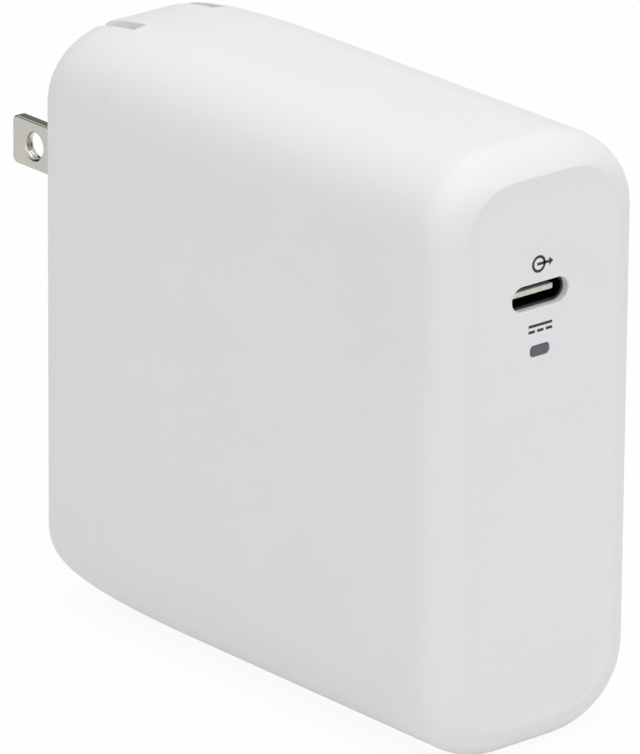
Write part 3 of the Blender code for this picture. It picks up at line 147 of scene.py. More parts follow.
BOSS_RADIUS = 0.0023
BOSS_SPACING = 0.0170
BOSS_START = 0.0013  # in front of the rotor
PILOT_START = 0.0035
PILOT_RADIUS = 0.00115

# Resolution
CORNER_STEPS = 28
PROFILE_STEP = 0.00010
CROWN_STEPS = 26
FRONT_STEPS = 60
DISH_STEPS = 12
POCKET_STEPS = 10
TIP_STEPS = 10
ROUND_STEPS = 72
BOSS_STEPS = 40
CIRCLE_STEPS = 48
EDGE_STEPS = 4  # quarter circles of small edges
MOUTH_STEPS = 6  # quarter circles of the port's mouth and the blades' holes
LEAST_STEP = 0.00001

# Derived places
FRONT_Y = -CASE_DEPTH / 2
BACK_Y = CASE_DEPTH / 2
SEAM_Y = BACK_Y - COVER_DEPTH
MID_Z = CASE_HEIGHT / 2
PANEL_Y = FRONT_Y + PANEL_DISH
INNER_FRONT_Y = PANEL_Y + WALL
INNER_BACK_Y = BACK_Y - WALL
PORT_Z = CASE_HEIGHT - PORT_DROP
INDICATOR_Z = PORT_Z - INDICATOR_DROP
RECEPTACLE_Y = FRONT_Y + RECEPTACLE_RECESS
TONGUE_Y = RECEPTACLE_Y + TONGUE_RECESS
PIVOT = Vector((0.0, BACK_Y - PIVOT_DEPTH, CASE_HEIGHT - PRONG_DROP))
BLADE_X = BLADE_SPACING / 2
TIP_Y = BACK_Y + BLADE_REACH
SLOT_FLOOR_Y = PIVOT.y - BLADE_WIDTH / 2 - SLOT_FLOOR_CLEARANCE

# Materials
NOISE_LOW = 0.3  # the range that a noise texture's output mostly keeps to
NOISE_HIGH = 0.7
LEAST_ROUGHNESS = 0.02

# Camera, measured from the photograph's edges
CAMERA_AZIMUTH = -40.90
CAMERA_ELEVATION = 20.475
CAMERA_ROLL = 0.469
CAMERA_TARGET = Vector((0.0, 0.0019, 0.0387))
TARGET_IN_CAMERA = Vector((0.0004834, -0.0015131, 1.1193))  # right, down and forward
FOCAL_PIXELS = 9090.0
IMAGE_WIDTH = 640
SENSOR_WIDTH = 36.0
CLIP_START = 0.05
CLIP_END = 20.0

# Light
WORLD_STRENGTH = 0.505
TOP_POWER = 4.36
FRONT_POWER = 0.735
SIDE_POWER = 0.65
FLOOR_GLOW = 0.93
FLOOR_TONE = 0.94
FLOOR_ROUGHNESS = 0.9
FLOOR_HALF = 4.0
CARD_Y = 1.5
CARD_HEIGHT = 1.2
CARD_HALF_LENGTH = 2.6
CARD_LOW_TONE = 0.02
CARD_HIGH_TONE = 0.24
CARD_HIGH_FROM = 0.45
CARD_FADE = 0.2


# ---------------------------------------------------------------- helpers


def new_object(name, bm):
    bmesh.ops.recalc_face_normals(bm, faces=bm.faces)
    mesh = bpy.data.meshes.new(name)
    bm.to_mesh(mesh)
    bm.free()
    obj = bpy.data.objects.new(name, mesh)
    bpy.context.scene.collection.objects.link(obj)
    return obj


def combine(target, others, operation):
    for other in others:
        modifier = target.modifiers.new(operation.lower(), "BOOLEAN")
        modifier.operation = operation
        modifier.solver = "EXACT"
        modifier.object = other


def settle(obj, helpers=(), sharp=32.0):
    """Applies the modifiers, removes their helpers, and shades smooth up to the sharp angle."""
    graph = bpy.context.evaluated_depsgraph_get()
    mesh = bpy.data.meshes.new_from_object(obj.evaluated_get(graph))
    mesh.name = obj.name
    obj.modifiers.clear()
    obj.data = mesh
    for helper in helpers:
        bpy.data.objects.remove(helper, do_unlink=True)
    mesh.shade_smooth()
    mesh.set_sharp_from_angle(angle=math.radians(sharp))
    modifier = obj.modifiers.new("weighted_normals", "WEIGHTED_NORMAL")
    modifier.keep_sharp = True
    return obj


def dress(obj, material, slot, body, *nodes):
    """Gives a piece its material, its body and the nodes it stands for; the slot argument is not
    used.
    """
    obj.data.materials.clear()
    obj.data.materials.append(material)
    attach(obj, body)
    if nodes:
        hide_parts(*nodes)


def loft(rings):
    """A closed solid through rings of equal length."""
    bm = bmesh.new()
    rows = [[bm.verts.new(point) for point in ring] for ring in rings]
    count = len(rows[0])
    for row, following in zip(rows, rows[1:]):
        for i in range(count):
            j = (i + 1) % count
            bm.faces.new((row[i], row[j], following[j], following[i]))
    bm.faces.new(rows[0][::-1])
    bm.faces.new(rows[-1])
    return bm


def box_mesh(low, high):
    bm = bmesh.new()
    bmesh.ops.create_cube(bm, size=1.0)
    for vert in bm.verts:
        vert.co = Vector(low[i] + (vert.co[i] + 0.5) * (high[i] - low[i]) for i in range(3))
    return bm


def bevelled(obj, width, segments):
    modifier = obj.modifiers.new("edges", "BEVEL")
    modifier.width = width
    modifier.segments = segments
    modifier.limit_method = "ANGLE"
    modifier.angle_limit = math.radians(30.0)
    return obj


def circle_points(radius, first, second, steps):
    """Points of a circle about (first, second) in any plane."""
    angles = [math.tau * i / steps for i in range(steps)]
    return [(first + radius * math.cos(a), second + radius * math.sin(a)) for a in angles]


def turned_x(centre, profile):
    """A solid of revolution about the X direction through (y, z), from (x, radius) pairs."""
    rings = []
    for x, radius in profile:
        points = circle_points(radius, *centre, ROUND_STEPS)
        rings.append([Vector((x, y, z)) for y, z in points])
    return loft(rings)


def turned_y(centre, profile, steps):
    """A solid of revolution about the Y direction through (x, z), from (y, radius) pairs."""
    rings = []
    for y, radius in profile:
        points = circle_points(radius, *centre, steps)
        rings.append([Vector((x, y, z)) for x, z in points])
    return loft(rings)


def stadium(width, height, z, corner=None, steps=10):
    """Points (x, z) of an outline with round ends, or with round corners of a given radius."""
    radius = height / 2 if corner is None else max(min(corner, height / 2), 0.0)
    reach_x = width / 2 - radius
    reach_z = height / 2 - radius
    points = []
    for x_side, z_side, start in ((1, -1, -90), (1, 1, 0), (-1, 1, 90), (-1, -1, 180)):
        for i in range(steps + 1):
            angle = math.radians(start + 90 * i / steps)
            x = x_side * reach_x + radius * math.cos(angle)
            points.append((x, z + z_side * reach_z + radius * math.sin(angle)))
    return points


def stadium_loft(width, height, z, profile, corner=None, steps=10):
    """A solid of such sections from (y, grow) pairs; a given corner radius grows with them."""
    rings = []
    for y, grow in profile:
        grown = None if corner is None else corner + grow
        outline = stadium(width + 2 * grow, height + 2 * grow, z, grown, steps)
        rings.append([Vector((x, y, height_at)) for x, height_at in outline])
    return loft(rings)


def quarter(radius, steps):
    """(along, across) of a quarter circle: across is radius at the face and 0 at its depth."""
    angles = [math.pi / 2 * i / steps for i in range(steps + 1)]
    return [(radius * (1 - math.cos(a)), radius * (1 - math.sin(a))) for a in angles]


# ---------------------------------------------------------------- case surfaces


def rounding(length, power, truncation, steps):
    """(depth, share) pairs of a truncated superellipse, from its full depth to its end plane."""
    limit = length / (length + truncation)
    full = 1 - (1 - limit**power) ** (1 / power)
    end_angle = math.asin(limit ** (power / 2))
    pairs = []
    for i in range(steps + 1):
        angle = end_angle * i / steps
        reach = math.sin(angle) ** (2 / power)
        inset = 1 - max(1 - reach**power, 0.0) ** (1 / power)
        pairs.append((length - (length + truncation) * reach, inset / full))
    return pairs


def back_share(depth):
    """How much of the back rim's inset there is at a depth from the back."""
    reach = min(max((BACK_CROWN_DEPTH - depth) / BACK_CROWN_DEPTH, 0.0), 1.0)
    return 1 - (1 - reach**BACK_CROWN_POWER) ** (1 / BACK_CROWN_POWER)


def front_share(depth):
    """How much of the front rim's inset there is at a depth from the front."""
    length = FRONT_ROUND_DEPTH
    reach = min(max((length - depth) / (length + FRONT_TRUNCATION), 0.0), 1.0)
    limit = length / (length + FRONT_TRUNCATION)
    full = 1 - (1 - limit**FRONT_ROUND_POWER) ** (1 / FRONT_ROUND_POWER)
    return (1 - (1 - reach**FRONT_ROUND_POWER) ** (1 / FRONT_ROUND_POWER)) / full


def case_inset(y, front_y=FRONT_Y, back_y=BACK_Y):
    """How far the side and the top are drawn in at y."""
    front = front_share(y - front_y)
    back = back_share(back_y - y)
    return (
        FRONT_RIM_SIDE * front + BACK_RIM_SIDE * back,
        FRONT_RIM_TOP * front + BACK_RIM_TOP * back,
    )


def section(y, side, top, bottom=None, steps=CORNER_STEPS):
    """The case's cross-section at y, drawn in by side, top and bottom, which may follow the top."""
    half_width = CASE_WIDTH / 2 - side
    corner_width = half_width - BASE_FLAT / 2
    power = 2 / CORNER_POWER
    ring = []
    for x_sign, z_sign in ((1, 1), (-1, 1), (-1, -1), (1, -1)):
        inset = bottom if z_sign < 0 and bottom is not None else top
        corner_height = max(CORNER_HEIGHT - inset, WALL / 2)
        half_height = CASE_HEIGHT / 2 - inset
        part = []
        for i in range(steps + 1):
            angle = math.pi / 2 * i / steps
            x = half_width - corner_width + corner_width * max(math.cos(angle), 0.0) ** power
            z = half_height - corner_height + corner_height * math.sin(angle) ** power
            part.append(Vector((x_sign * x, y, MID_Z + z_sign * z)))
        ring += part if x_sign == z_sign else part[::-1]
    return ring


def outer_ring(y, offset=0.0):
    side, top = case_inset(y)
    return section(y, side + offset, top + offset)


def inner_ring(y, offset=WALL):
    side, top = case_inset(y, INNER_FRONT_Y, INNER_BACK_Y)
    return section(y, side + offset, top + offset)


def even_profile(points, step):
    """The polyline through (y, side, top, bottom) points, resampled to steps of equal length."""
    result = [Vector(points[0])]
    left = step
    for start, end in zip(points, points[1:]):
        start, end = Vector(start), Vector(end)
        length = (end - start).length
        while left < length:
            result.append(start.lerp(end, left / length))
            left += step
        left -= length
    result.append(Vector(points[-1]))
    return result


def softened(points, step, width):
    """Each point averaged with its neighbours within about width, ends kept."""
    reach = round(3 * width / step)
    last = len(points) - 1
    result = []
    for i in range(len(points)):
        near = min(reach, i, last - i)
        offsets = range(-near, near + 1)
        weights = [math.exp(-((k * step / width) ** 2) / 2) for k in offsets]
        total = sum((points[i + k] * w for k, w in zip(offsets, weights)), 0 * points[i])
        result.append(total / sum(weights))
    return result


def top_rim(depth):
    """The rim's drop from the top: a bend, then a slope that ends in a clear edge at the panel."""
    along = TOP_RIM_DROP / TOP_RIM_SLOPE + TOP_RIM_BEND / 2 - depth
    if along < TOP_RIM_BEND:
        return TOP_RIM_SLOPE * max(along, 0.0) ** 2 / (2 * TOP_RIM_BEND)
    return TOP_RIM_SLOPE * (along - TOP_RIM_BEND / 2)


def front_profile():
    """(y, side, top, bottom) from the straight side, over the soft rim, down to the panel."""
    points = [(FRONT_Y + FRONT_ROUND_DEPTH + 4 * RIM_SOFTNESS, 0.0, 0.0, 0.0)]
    pairs = rounding(FRONT_ROUND_DEPTH, FRONT_ROUND_POWER, FRONT_TRUNCATION, FRONT_STEPS)
    for depth, share in pairs:
        side, bottom = FRONT_RIM_SIDE * share, FRONT_RIM_TOP * share
        points.append((FRONT_Y + depth, side, top_rim(depth), bottom))
    for i in range(1, DISH_STEPS + 1):
        share = i / DISH_STEPS
        grow = PANEL_DISH_WIDTH * share
        y = FRONT_Y + PANEL_DISH * (1 - (1 - share) ** 2)
        points.append((y, FRONT_RIM_SIDE + grow, TOP_RIM_DROP + grow, FRONT_RIM_TOP + grow))
    return softened(even_profile(points, PROFILE_STEP), PROFILE_STEP, RIM_SOFTNESS)


def crown_stations(low_y, high_y):
    """Y values that resolve the crown between two limits, limits included."""
    pairs = rounding(BACK_CROWN_DEPTH, BACK_CROWN_POWER, 0.0, CROWN_STEPS)
    places = [BACK_Y - depth for depth, _ in pairs]
    inside = [y for y in places if low_y + LEAST_STEP < y < high_y - LEAST_STEP]
    return [low_y] + inside + [high_y]


# ---------------------------------------------------------------- housing


def case_front():
    """The housing's front half: soft rim, dished panel, port mouth and indicator window."""
    edge = SEAM_Y - SEAM_GAP / 2
    lap_floor = edge - LAP_LENGTH
    lap_offset = WALL - LAP_THICKNESS - LAP_CLEARANCE
    crown = crown_stations(BACK_Y - BACK_CROWN_DEPTH, edge - 2 * SEAM_EDGE)
    inner = [INNER_FRONT_Y + FRONT_ROUND_DEPTH * share for share in INNER_FRONT_SHARES]
    rings = [inner_ring(y) for y in inner]
    rings.append(inner_ring(lap_floor))
    rings.append(inner_ring(lap_floor, lap_offset))
    rings.append(inner_ring(edge, lap_offset))
    rings += [outer_ring(edge - back, across) for back, across in quarter(SEAM_EDGE, EDGE_STEPS)]
    rings += [outer_ring(y) for y in crown[::-1]]
    rings += [section(*values) for values in front_profile()]
    case = new_object("case_front", loft(rings))
    cutters = [port_cutter(), indicator_cutter()]
    combine(case, cutters, "DIFFERENCE")
    return settle(case, cutters)


def port_cutter():
    mouth = [(PANEL_Y + along, across) for along, across in quarter(PORT_FILLET, MOUTH_STEPS)]
    profile = [(PANEL_Y - WALL, PORT_FILLET)] + mouth + [(INNER_FRONT_Y + WALL, 0.0)]
    return new_object("port_cutter", port_loft(profile))


def port_loft(profile):
    """The mouth's sections; its rounded edge is wider below than above."""
    rings = []
    for y, grow in profile:
        middle = PORT_Z - PORT_LIP_DROP * grow
        outline = stadium(PORT_WIDTH + 2 * grow, PORT_HEIGHT + 2 * grow, middle)
        rings.append([Vector((x, y, z)) for x, z in outline])
    return loft(rings)


def indicator_cutter():
    gap = INDICATOR_GAP
    rounded = quarter(INDICATOR_EDGE, EDGE_STEPS)
    mouth = [(PANEL_Y + along, across + gap) for along, across in rounded]
    profile = [(PANEL_Y - WALL, INDICATOR_EDGE + gap)] + mouth + [(INNER_FRONT_Y + WALL, gap)]
    outline = (INDICATOR_WIDTH, INDICATOR_TALL, INDICATOR_Z)
    return new_object("indicator_cutter", stadium_loft(*outline, profile, INDICATOR_CORNER))


def case_rear():
    """The rear cover: crown, blade slots with their pockets, rotor window, bearings and bosses."""
    edge = SEAM_Y + SEAM_GAP / 2
    lap_end = edge - LAP_LENGTH
    inner = crown_stations(edge, INNER_BACK_Y)
    rings = [inner_ring(y) for y in inner[::-1]]
    rings.append(inner_ring(lap_end, WALL))
    rings.append(inner_ring(lap_end, WALL - LAP_THICKNESS))
    rings.append(inner_ring(edge, WALL - LAP_THICKNESS))
    rings += [outer_ring(edge + back, across) for back, across in quarter(SEAM_EDGE, EDGE_STEPS)]
    rings += [outer_ring(y) for y in crown_stations(edge + 2 * SEAM_EDGE, BACK_Y)]
    cover = new_object("case_rear", loft(rings))
    added = [slot_pocket(-1), slot_pocket(1), bearing_saddle(-1), bearing_saddle(1)]
    added += [boss(1), boss(-1)]
    combine(cover, added, "UNION")
    taken = [blade_slot(-1), blade_slot(1), rotor_window(), bearing_bore(), pilot(1), pilot(-1)]
    combine(cover, taken, "DIFFERENCE")
    return settle(cover, added + taken, sharp=28.0)


def slot_pocket(side):
    """The box inside the cover that a folded blade lies in, trimmed to the wall."""
    reach = SLOT_WIDTH / 2 + POCKET_WALL
    x = sorted((side * (BLADE_X - reach), side * (BLADE_X + reach)))
    low = (x[0], SLOT_FLOOR_Y - POCKET_WALL, PIVOT.z + ROTOR_RADIUS + RUN_GAP)
    high = (x[1], BACK_Y, CASE_HEIGHT)
    pocket = new_object("pocket", box_mesh(low, high))
    trim_rings = []
    for y in crown_stations(SEAM_Y, BACK_Y - WALL / 2):
        side_inset, top_inset = case_inset(y)
        insets = (side_inset + WALL / 2, top_inset + WALL / 2)
        trim_rings.append(section(y, *insets, steps=POCKET_STEPS))
    trim = new_object("trim", loft(trim_rings))
    combine(pocket, [trim], "INTERSECT")
    return settle(pocket, [trim])


def blade_slot(side):
    """The slot of one blade: through the back wall and out at the top edge."""
    x = sorted((side * BLADE_X - SLOT_WIDTH / 2, side * BLADE_X + SLOT_WIDTH / 2))
    low = (x[0], SLOT_FLOOR_Y, PIVOT.z - BLADE_WIDTH / 2 - 2 * SEAT_GAP)
    return new_object("slot_cutter", box_mesh(low, (x[1], BACK_Y + WALL, CASE_HEIGHT + WALL)))


def rotor_window():
    """The opening in the back wall where the rotor's barrel shows."""
    half_height = math.sqrt(ROTOR_RADIUS**2 - (INNER_BACK_Y - PIVOT.y) ** 2) + RUN_GAP
    half_length = ROTOR_LENGTH / 2 + RUN_GAP
    low = (-half_length, PIVOT.y, PIVOT.z - half_height)
    high = (half_length, BACK_Y + WALL, PIVOT.z + half_height)
    return new_object("window_cutter", box_mesh(low, high))


def bearing_saddle(side):
    """The half bearing that grows from the back wall behind one journal."""
    inner = ROTOR_LENGTH / 2 + RUN_GAP
    x = sorted((side * inner, side * (inner + JOURNAL_LENGTH)))
    low = (x[0], PIVOT.y + SEAT_GAP / 2, PIVOT.z - BEARING_HEIGHT / 2)
    high = (x[1], INNER_BACK_Y + WALL / 2, PIVOT.z + BEARING_HEIGHT / 2)
    return new_object("saddle", box_mesh(low, high))


def bearing_bore():
    reach = ROTOR_LENGTH / 2 + JOURNAL_LENGTH + WALL / 2
    radius = JOURNAL_RADIUS + RUN_GAP / 2
    profile = [(-reach, radius), (reach, radius)]
    return new_object("bore_cutter", turned_x((PIVOT.y, PIVOT.z), profile))


def screw_place(side, name, start, end, radius):
    """A cylinder on the axis of one of the bracket's screws, from in front of the rotor to end."""
    centre = (0.0, PIVOT.z + side * BOSS_SPACING / 2)
    profile = [(PIVOT.y - ROTOR_RADIUS - start, radius), (end, radius)]
    return new_object(name, turned_y(centre, profile, BOSS_STEPS))


def boss(side):
    return screw_place(side, "boss", BOSS_START, INNER_BACK_Y + WALL / 2, BOSS_RADIUS)


def pilot(side):
    return screw_place(side, "pilot_cutter", PILOT_START, INNER_BACK_Y - SEAT_GAP, PILOT_RADIUS)


# ---------------------------------------------------------------- prongs


def blade_outline():
    """(y, z) points of the blade, its shank and its contact tail."""
    shoulder = PIVOT.y + math.sqrt(ROTOR_RADIUS**2 - (SHANK_WIDTH / 2) ** 2) + SEAT_GAP
    tail = PIVOT.y - ROTOR_RADIUS
    half = BLADE_WIDTH / 2
    corner = BLADE_TIP_CORNER
    upper = [
        (tail - TAIL_LENGTH, TAIL_WIDTH / 2),
        (tail, TAIL_WIDTH / 2),
        (tail, SHANK_WIDTH / 2),
        (shoulder, SHANK_WIDTH / 2),
        (shoulder, half),
    ]
    for i in range(TIP_STEPS + 1):
        angle = math.pi / 2 * (1 - i / TIP_STEPS)
        y = TIP_Y - corner + corner * math.cos(angle)
        upper.append((y, half - corner + corner * math.sin(angle)))
    return [(y, PIVOT.z + z) for y, z in upper] + [(y, PIVOT.z - z) for y, z in upper[::-1]]


def prong(side):
    """One blade with rounded edges and a countersunk hole."""
    middle = side * BLADE_X
    half = BLADE_THICKNESS / 2
    sides = (middle - half, middle + half)
    rings = [[Vector((x, y, z)) for y, z in blade_outline()] for x in sides]
    blade = new_object("prong_left" if side < 0 else "prong_right", loft(rings))
    bevelled(blade, BLADE_EDGE, 4)
    hole = hole_cutter(middle, half)
    combine(blade, [hole], "DIFFERENCE")
    return settle(blade, [hole])


def hole_cutter(middle, half):
    """A round hole with a rounded countersink on both faces."""
    flare = quarter(BLADE_HOLE_FLARE, MOUTH_STEPS)
    outer = [(2 * half, BLADE_HOLE_RADIUS + BLADE_HOLE_FLARE)]
    outer += [(half - along, BLADE_HOLE_RADIUS + across) for along, across in flare]
    profile = [(middle - x, radius) for x, radius in outer]
    profile += [(middle + x, radius) for x, radius in outer[::-1]]
    return new_object("hole_cutter", turned_x((TIP_Y - BLADE_HOLE_FROM_TIP, PIVOT.z), profile))


def rotor():
    """The insulating barrel with its journals, shank openings and detent grooves."""
    half = ROTOR_LENGTH / 2
    end = half + JOURNAL_LENGTH - SEAT_GAP
    corner = ROTOR_RADIUS - ROTOR_EDGE
    profile = [(half - along, corner + across) for along, across in quarter_out(ROTOR_EDGE)]
    profile += [(half, JOURNAL_RADIUS), (end - ROTOR_EDGE, JOURNAL_RADIUS)]
    profile += [(end, JOURNAL_RADIUS - ROTOR_EDGE)]
    barrel = [(-x, radius) for x, radius in profile[::-1]] + profile
    piece = new_object("rotor_barrel", turned_x((PIVOT.y, PIVOT.z), barrel))
    cutters = [shank_cutter(-1), shank_cutter(1), groove_cutter(0), groove_cutter(90)]
    combine(piece, cutters, "DIFFERENCE")
    return settle(piece, cutters)


def quarter_out(radius, steps=5):
    """(along, across) of a convex quarter circle, from the cylinder's surface to its end face."""
    angles = [math.pi / 2 * i / steps for i in range(steps + 1)]
    return [(radius * (1 - math.sin(a)), radius * math.cos(a)) for a in angles]


def shank_cutter(side):
    """The opening in the barrel that one blade's shank goes through."""
    gap = SEAT_GAP / 4
    half = BLADE_THICKNESS / 2 + gap
    low = (side * BLADE_X - half, PIVOT.y - 2 * ROTOR_RADIUS, PIVOT.z - SHANK_WIDTH / 2 - gap)
    high = (side * BLADE_X + half, PIVOT.y + 2 * ROTOR_RADIUS, PIVOT.z + SHANK_WIDTH / 2 + gap)
    return new_object("shank_cutter", box_mesh(low, high))


def groove_cutter(degrees):
    """A V groove in the barrel; it faces the spring at rest, or once the prongs are folded."""
    tip = ROTOR_RADIUS - GROOVE_DEPTH
    mouth = ROTOR_RADIUS + GROOVE_DEPTH
    spread = 4 * GROOVE_DEPTH
    outline = ((-tip, 0.0), (-mouth, spread), (-mouth, -spread))
    turn = Matrix.Rotation(-math.radians(degrees), 2)
    flat = [turn @ Vector(point) for point in outline]
    rings = [
        [Vector((x, PIVOT.y + point.x, PIVOT.z + point.y)) for point in flat]
        for x in (-GROOVE_LENGTH / 2, GROOVE_LENGTH / 2)
    ]
    return new_object("groove_cutter", loft(rings))


# ---------------------------------------------------------------- port and indicator


def receptacle():
    """The drawn shell of the receptacle, with a rounded front edge."""
    end = RECEPTACLE_Y + RECEPTACLE_LENGTH
    sheet = RECEPTACLE_SHEET
    rounded = quarter(RECEPTACLE_EDGE, EDGE_STEPS)
    profile = [(end, 0.0)]
    profile += [(RECEPTACLE_Y + along, -across) for along, across in rounded[::-1]]
    profile += [(RECEPTACLE_Y + along, across - sheet) for along, across in rounded]
    profile += [(end, -sheet)]
    bm = stadium_loft(RECEPTACLE_WIDTH, RECEPTACLE_HEIGHT, PORT_Z, profile, steps=12)
    bm.faces.ensure_lookup_table()
    caps = [face for face in bm.faces if len(face.verts) > 4]
    loops = [list(face.verts) for face in caps]
    bmesh.ops.delete(bm, geom=caps, context="FACES_ONLY")
    first, last = loops[0][::-1], loops[1]
    for i in range(len(first)):
        j = (i + 1) % len(first)
        bm.faces.new((first[i], first[j], last[j], last[i]))
    return settle(new_object("receptacle_shell", bm))


def tongue():
    """The moulded tongue and its base block."""
    end = RECEPTACLE_Y + RECEPTACLE_LENGTH
    inset = -RECEPTACLE_SHEET - SEAT_GAP / 2
    profile = [(end - TONGUE_BASE_LENGTH, inset), (end, inset)]
    bm = stadium_loft(RECEPTACLE_WIDTH, RECEPTACLE_HEIGHT, PORT_Z, profile)
    block = new_object("tongue_block", bm)
    plate = tongue_plate("tongue_plate", TONGUE_Y, end - TONGUE_BASE_LENGTH / 2, 0.0)
    combine(block, [plate], "UNION")
    return settle(block, [plate])


def tongue_plate(name, front, back, raised):
    """A plate across the port with rounded edges, raised above the tongue's faces."""
    half = TONGUE_THICKNESS / 2 + raised
    low = (-TONGUE_WIDTH / 2, front, PORT_Z - half)
    high = (TONGUE_WIDTH / 2, back, PORT_Z + half)
    return settle(bevelled(new_object(name, box_mesh(low, high)), TONGUE_THICKNESS / 5, 3))


def tongue_cap():
    """The pale edge of the tongue: a moulded lip over its front and sides."""
    return tongue_plate("tongue_lip", TONGUE_Y - LIP_RAISE, TONGUE_Y + LIP_LENGTH, LIP_RAISE)


def contact_strips():
    """The rows of contacts on the tongue's two faces."""
    bm = bmesh.new()
    start = TONGUE_Y + CONTACT_START
    for row in (-1, 1):
        for i in range(CONTACT_COUNT):
            x = (i - (CONTACT_COUNT - 1) / 2) * CONTACT_PITCH
            z = PORT_Z + row * TONGUE_THICKNESS / 2
            made = bmesh.ops.create_cube(bm, size=1.0)["verts"]
            for vert in made:
                vert.co.x = x + vert.co.x * CONTACT_PITCH / 2
                vert.co.y = start + (vert.co.y + 0.5) * CONTACT_LENGTH
                vert.co.z = z + vert.co.z * CONTACT_THICKNESS
    return settle(new_object("tongue_contacts", bm))


def indicator():
    """The indicator's window, slightly domed, with the flange that stops it behind the panel."""
    front = INNER_FRONT_Y + SEAT_GAP
    back = front + INDICATOR_FLANGE_LENGTH
    edge = PANEL_Y + INDICATOR_STEP
    rounded = quarter(INDICATOR_EDGE, EDGE_STEPS)
    profile = [(PANEL_Y + along, grow) for along, grow in INDICATOR_DOME]
    profile += [(edge + along, -across) for along, across in rounded]
    profile += [(front, 0.0), (front, INDICATOR_FLANGE), (back, INDICATOR_FLANGE), (back, 0.0)]
    profile += [(RECEPTACLE_Y + RECEPTACLE_LENGTH - LED_ROOM, 0.0)]
    outline = (INDICATOR_WIDTH, INDICATOR_TALL, INDICATOR_Z)
    bm = stadium_loft(*outline, profile, INDICATOR_CORNER)
    return settle(new_object("indicator_window", bm))


# ---------------------------------------------------------------- marks


def mark_piece(bm, outline, hole=()):
    """Adds a thin tile to the panel, from an (x, z) outline and a hole of as many points."""
    front = PANEL_Y - MARK_RAISE
    back = front + MARK_THICKNESS
    if not hole:
        rings = [[Vector((x, y, z)) for x, z in outline] for y in (front, back)]
        piece = loft(rings)
    else:
        loops = [(outline, front), (outline, back), (hole, back), (hole, front), (outline, front)]
        piece = bmesh.new()
        rows = [[piece.verts.new((x, y, z)) for x, z in points] for points, y in loops[:-1]]
        rows.append(rows[0])
        count = len(outline)
        for row, following in zip(rows, rows[1:]):
            for i in range(count):
                j = (i + 1) % count
                piece.faces.new((row[i], row[j], following[j], following[i]))
    bmesh.ops.recalc_face_normals(piece, faces=piece.faces)
    mesh = bpy.data.meshes.new("mark_piece")
    piece.to_mesh(mesh)
    piece.free()
    bm.from_mesh(mesh)
    bpy.data.meshes.remove(mesh)


def output_mark():
    """A plain output sign: an open ring with an arrow through it."""
    x = RING_MARK_SHIFT
    z = PORT_Z + RING_MARK_ABOVE_PORT
    radius = RING_MARK_RADIUS
    half = RING_MARK_LINE / 2
    tail = x - ARROW_TAIL * radius
    neck = x + ARROW_NECK * radius
    tip = x + ARROW_TIP * radius
    circles = [circle_points(r, x, z, CIRCLE_STEPS) for r in (radius, radius - RING_MARK_LINE)]
    bm = bmesh.new()
    mark_piece(bm, *circles)
    mark_piece(bm, [(tail, z - half), (neck, z - half), (neck, z + half), (tail, z + half)])
    mark_piece(bm, [(neck, z - ARROW_HEAD * half), (tip, z), (neck, z + ARROW_HEAD * half)])
    return new_object("output_mark", bm)


def current_mark():
    """The plain sign for direct current: a line over three dashes."""
    z = PORT_Z - LINE_MARK_BELOW_PORT
    half = LINE_MARK_WIDTH / 2
    dash = (LINE_MARK_WIDTH - 2 * LINE_MARK_LINE) / 3
    upper = z + LINE_MARK_GAP / 2
    lower = z - LINE_MARK_GAP / 2 - LINE_MARK_LINE
    bars = [(-half, half, upper)]
    bars += [(x, x + dash, lower) for x in (-half, -dash / 2, half - dash)]
    bm = bmesh.new()
    for start, end, low in bars:
        high = low + LINE_MARK_LINE
        mark_piece(bm, [(start, low), (end, low), (end, high), (start, high)])
    return new_object("current_mark", bm)


# ---------------------------------------------------------------- materials


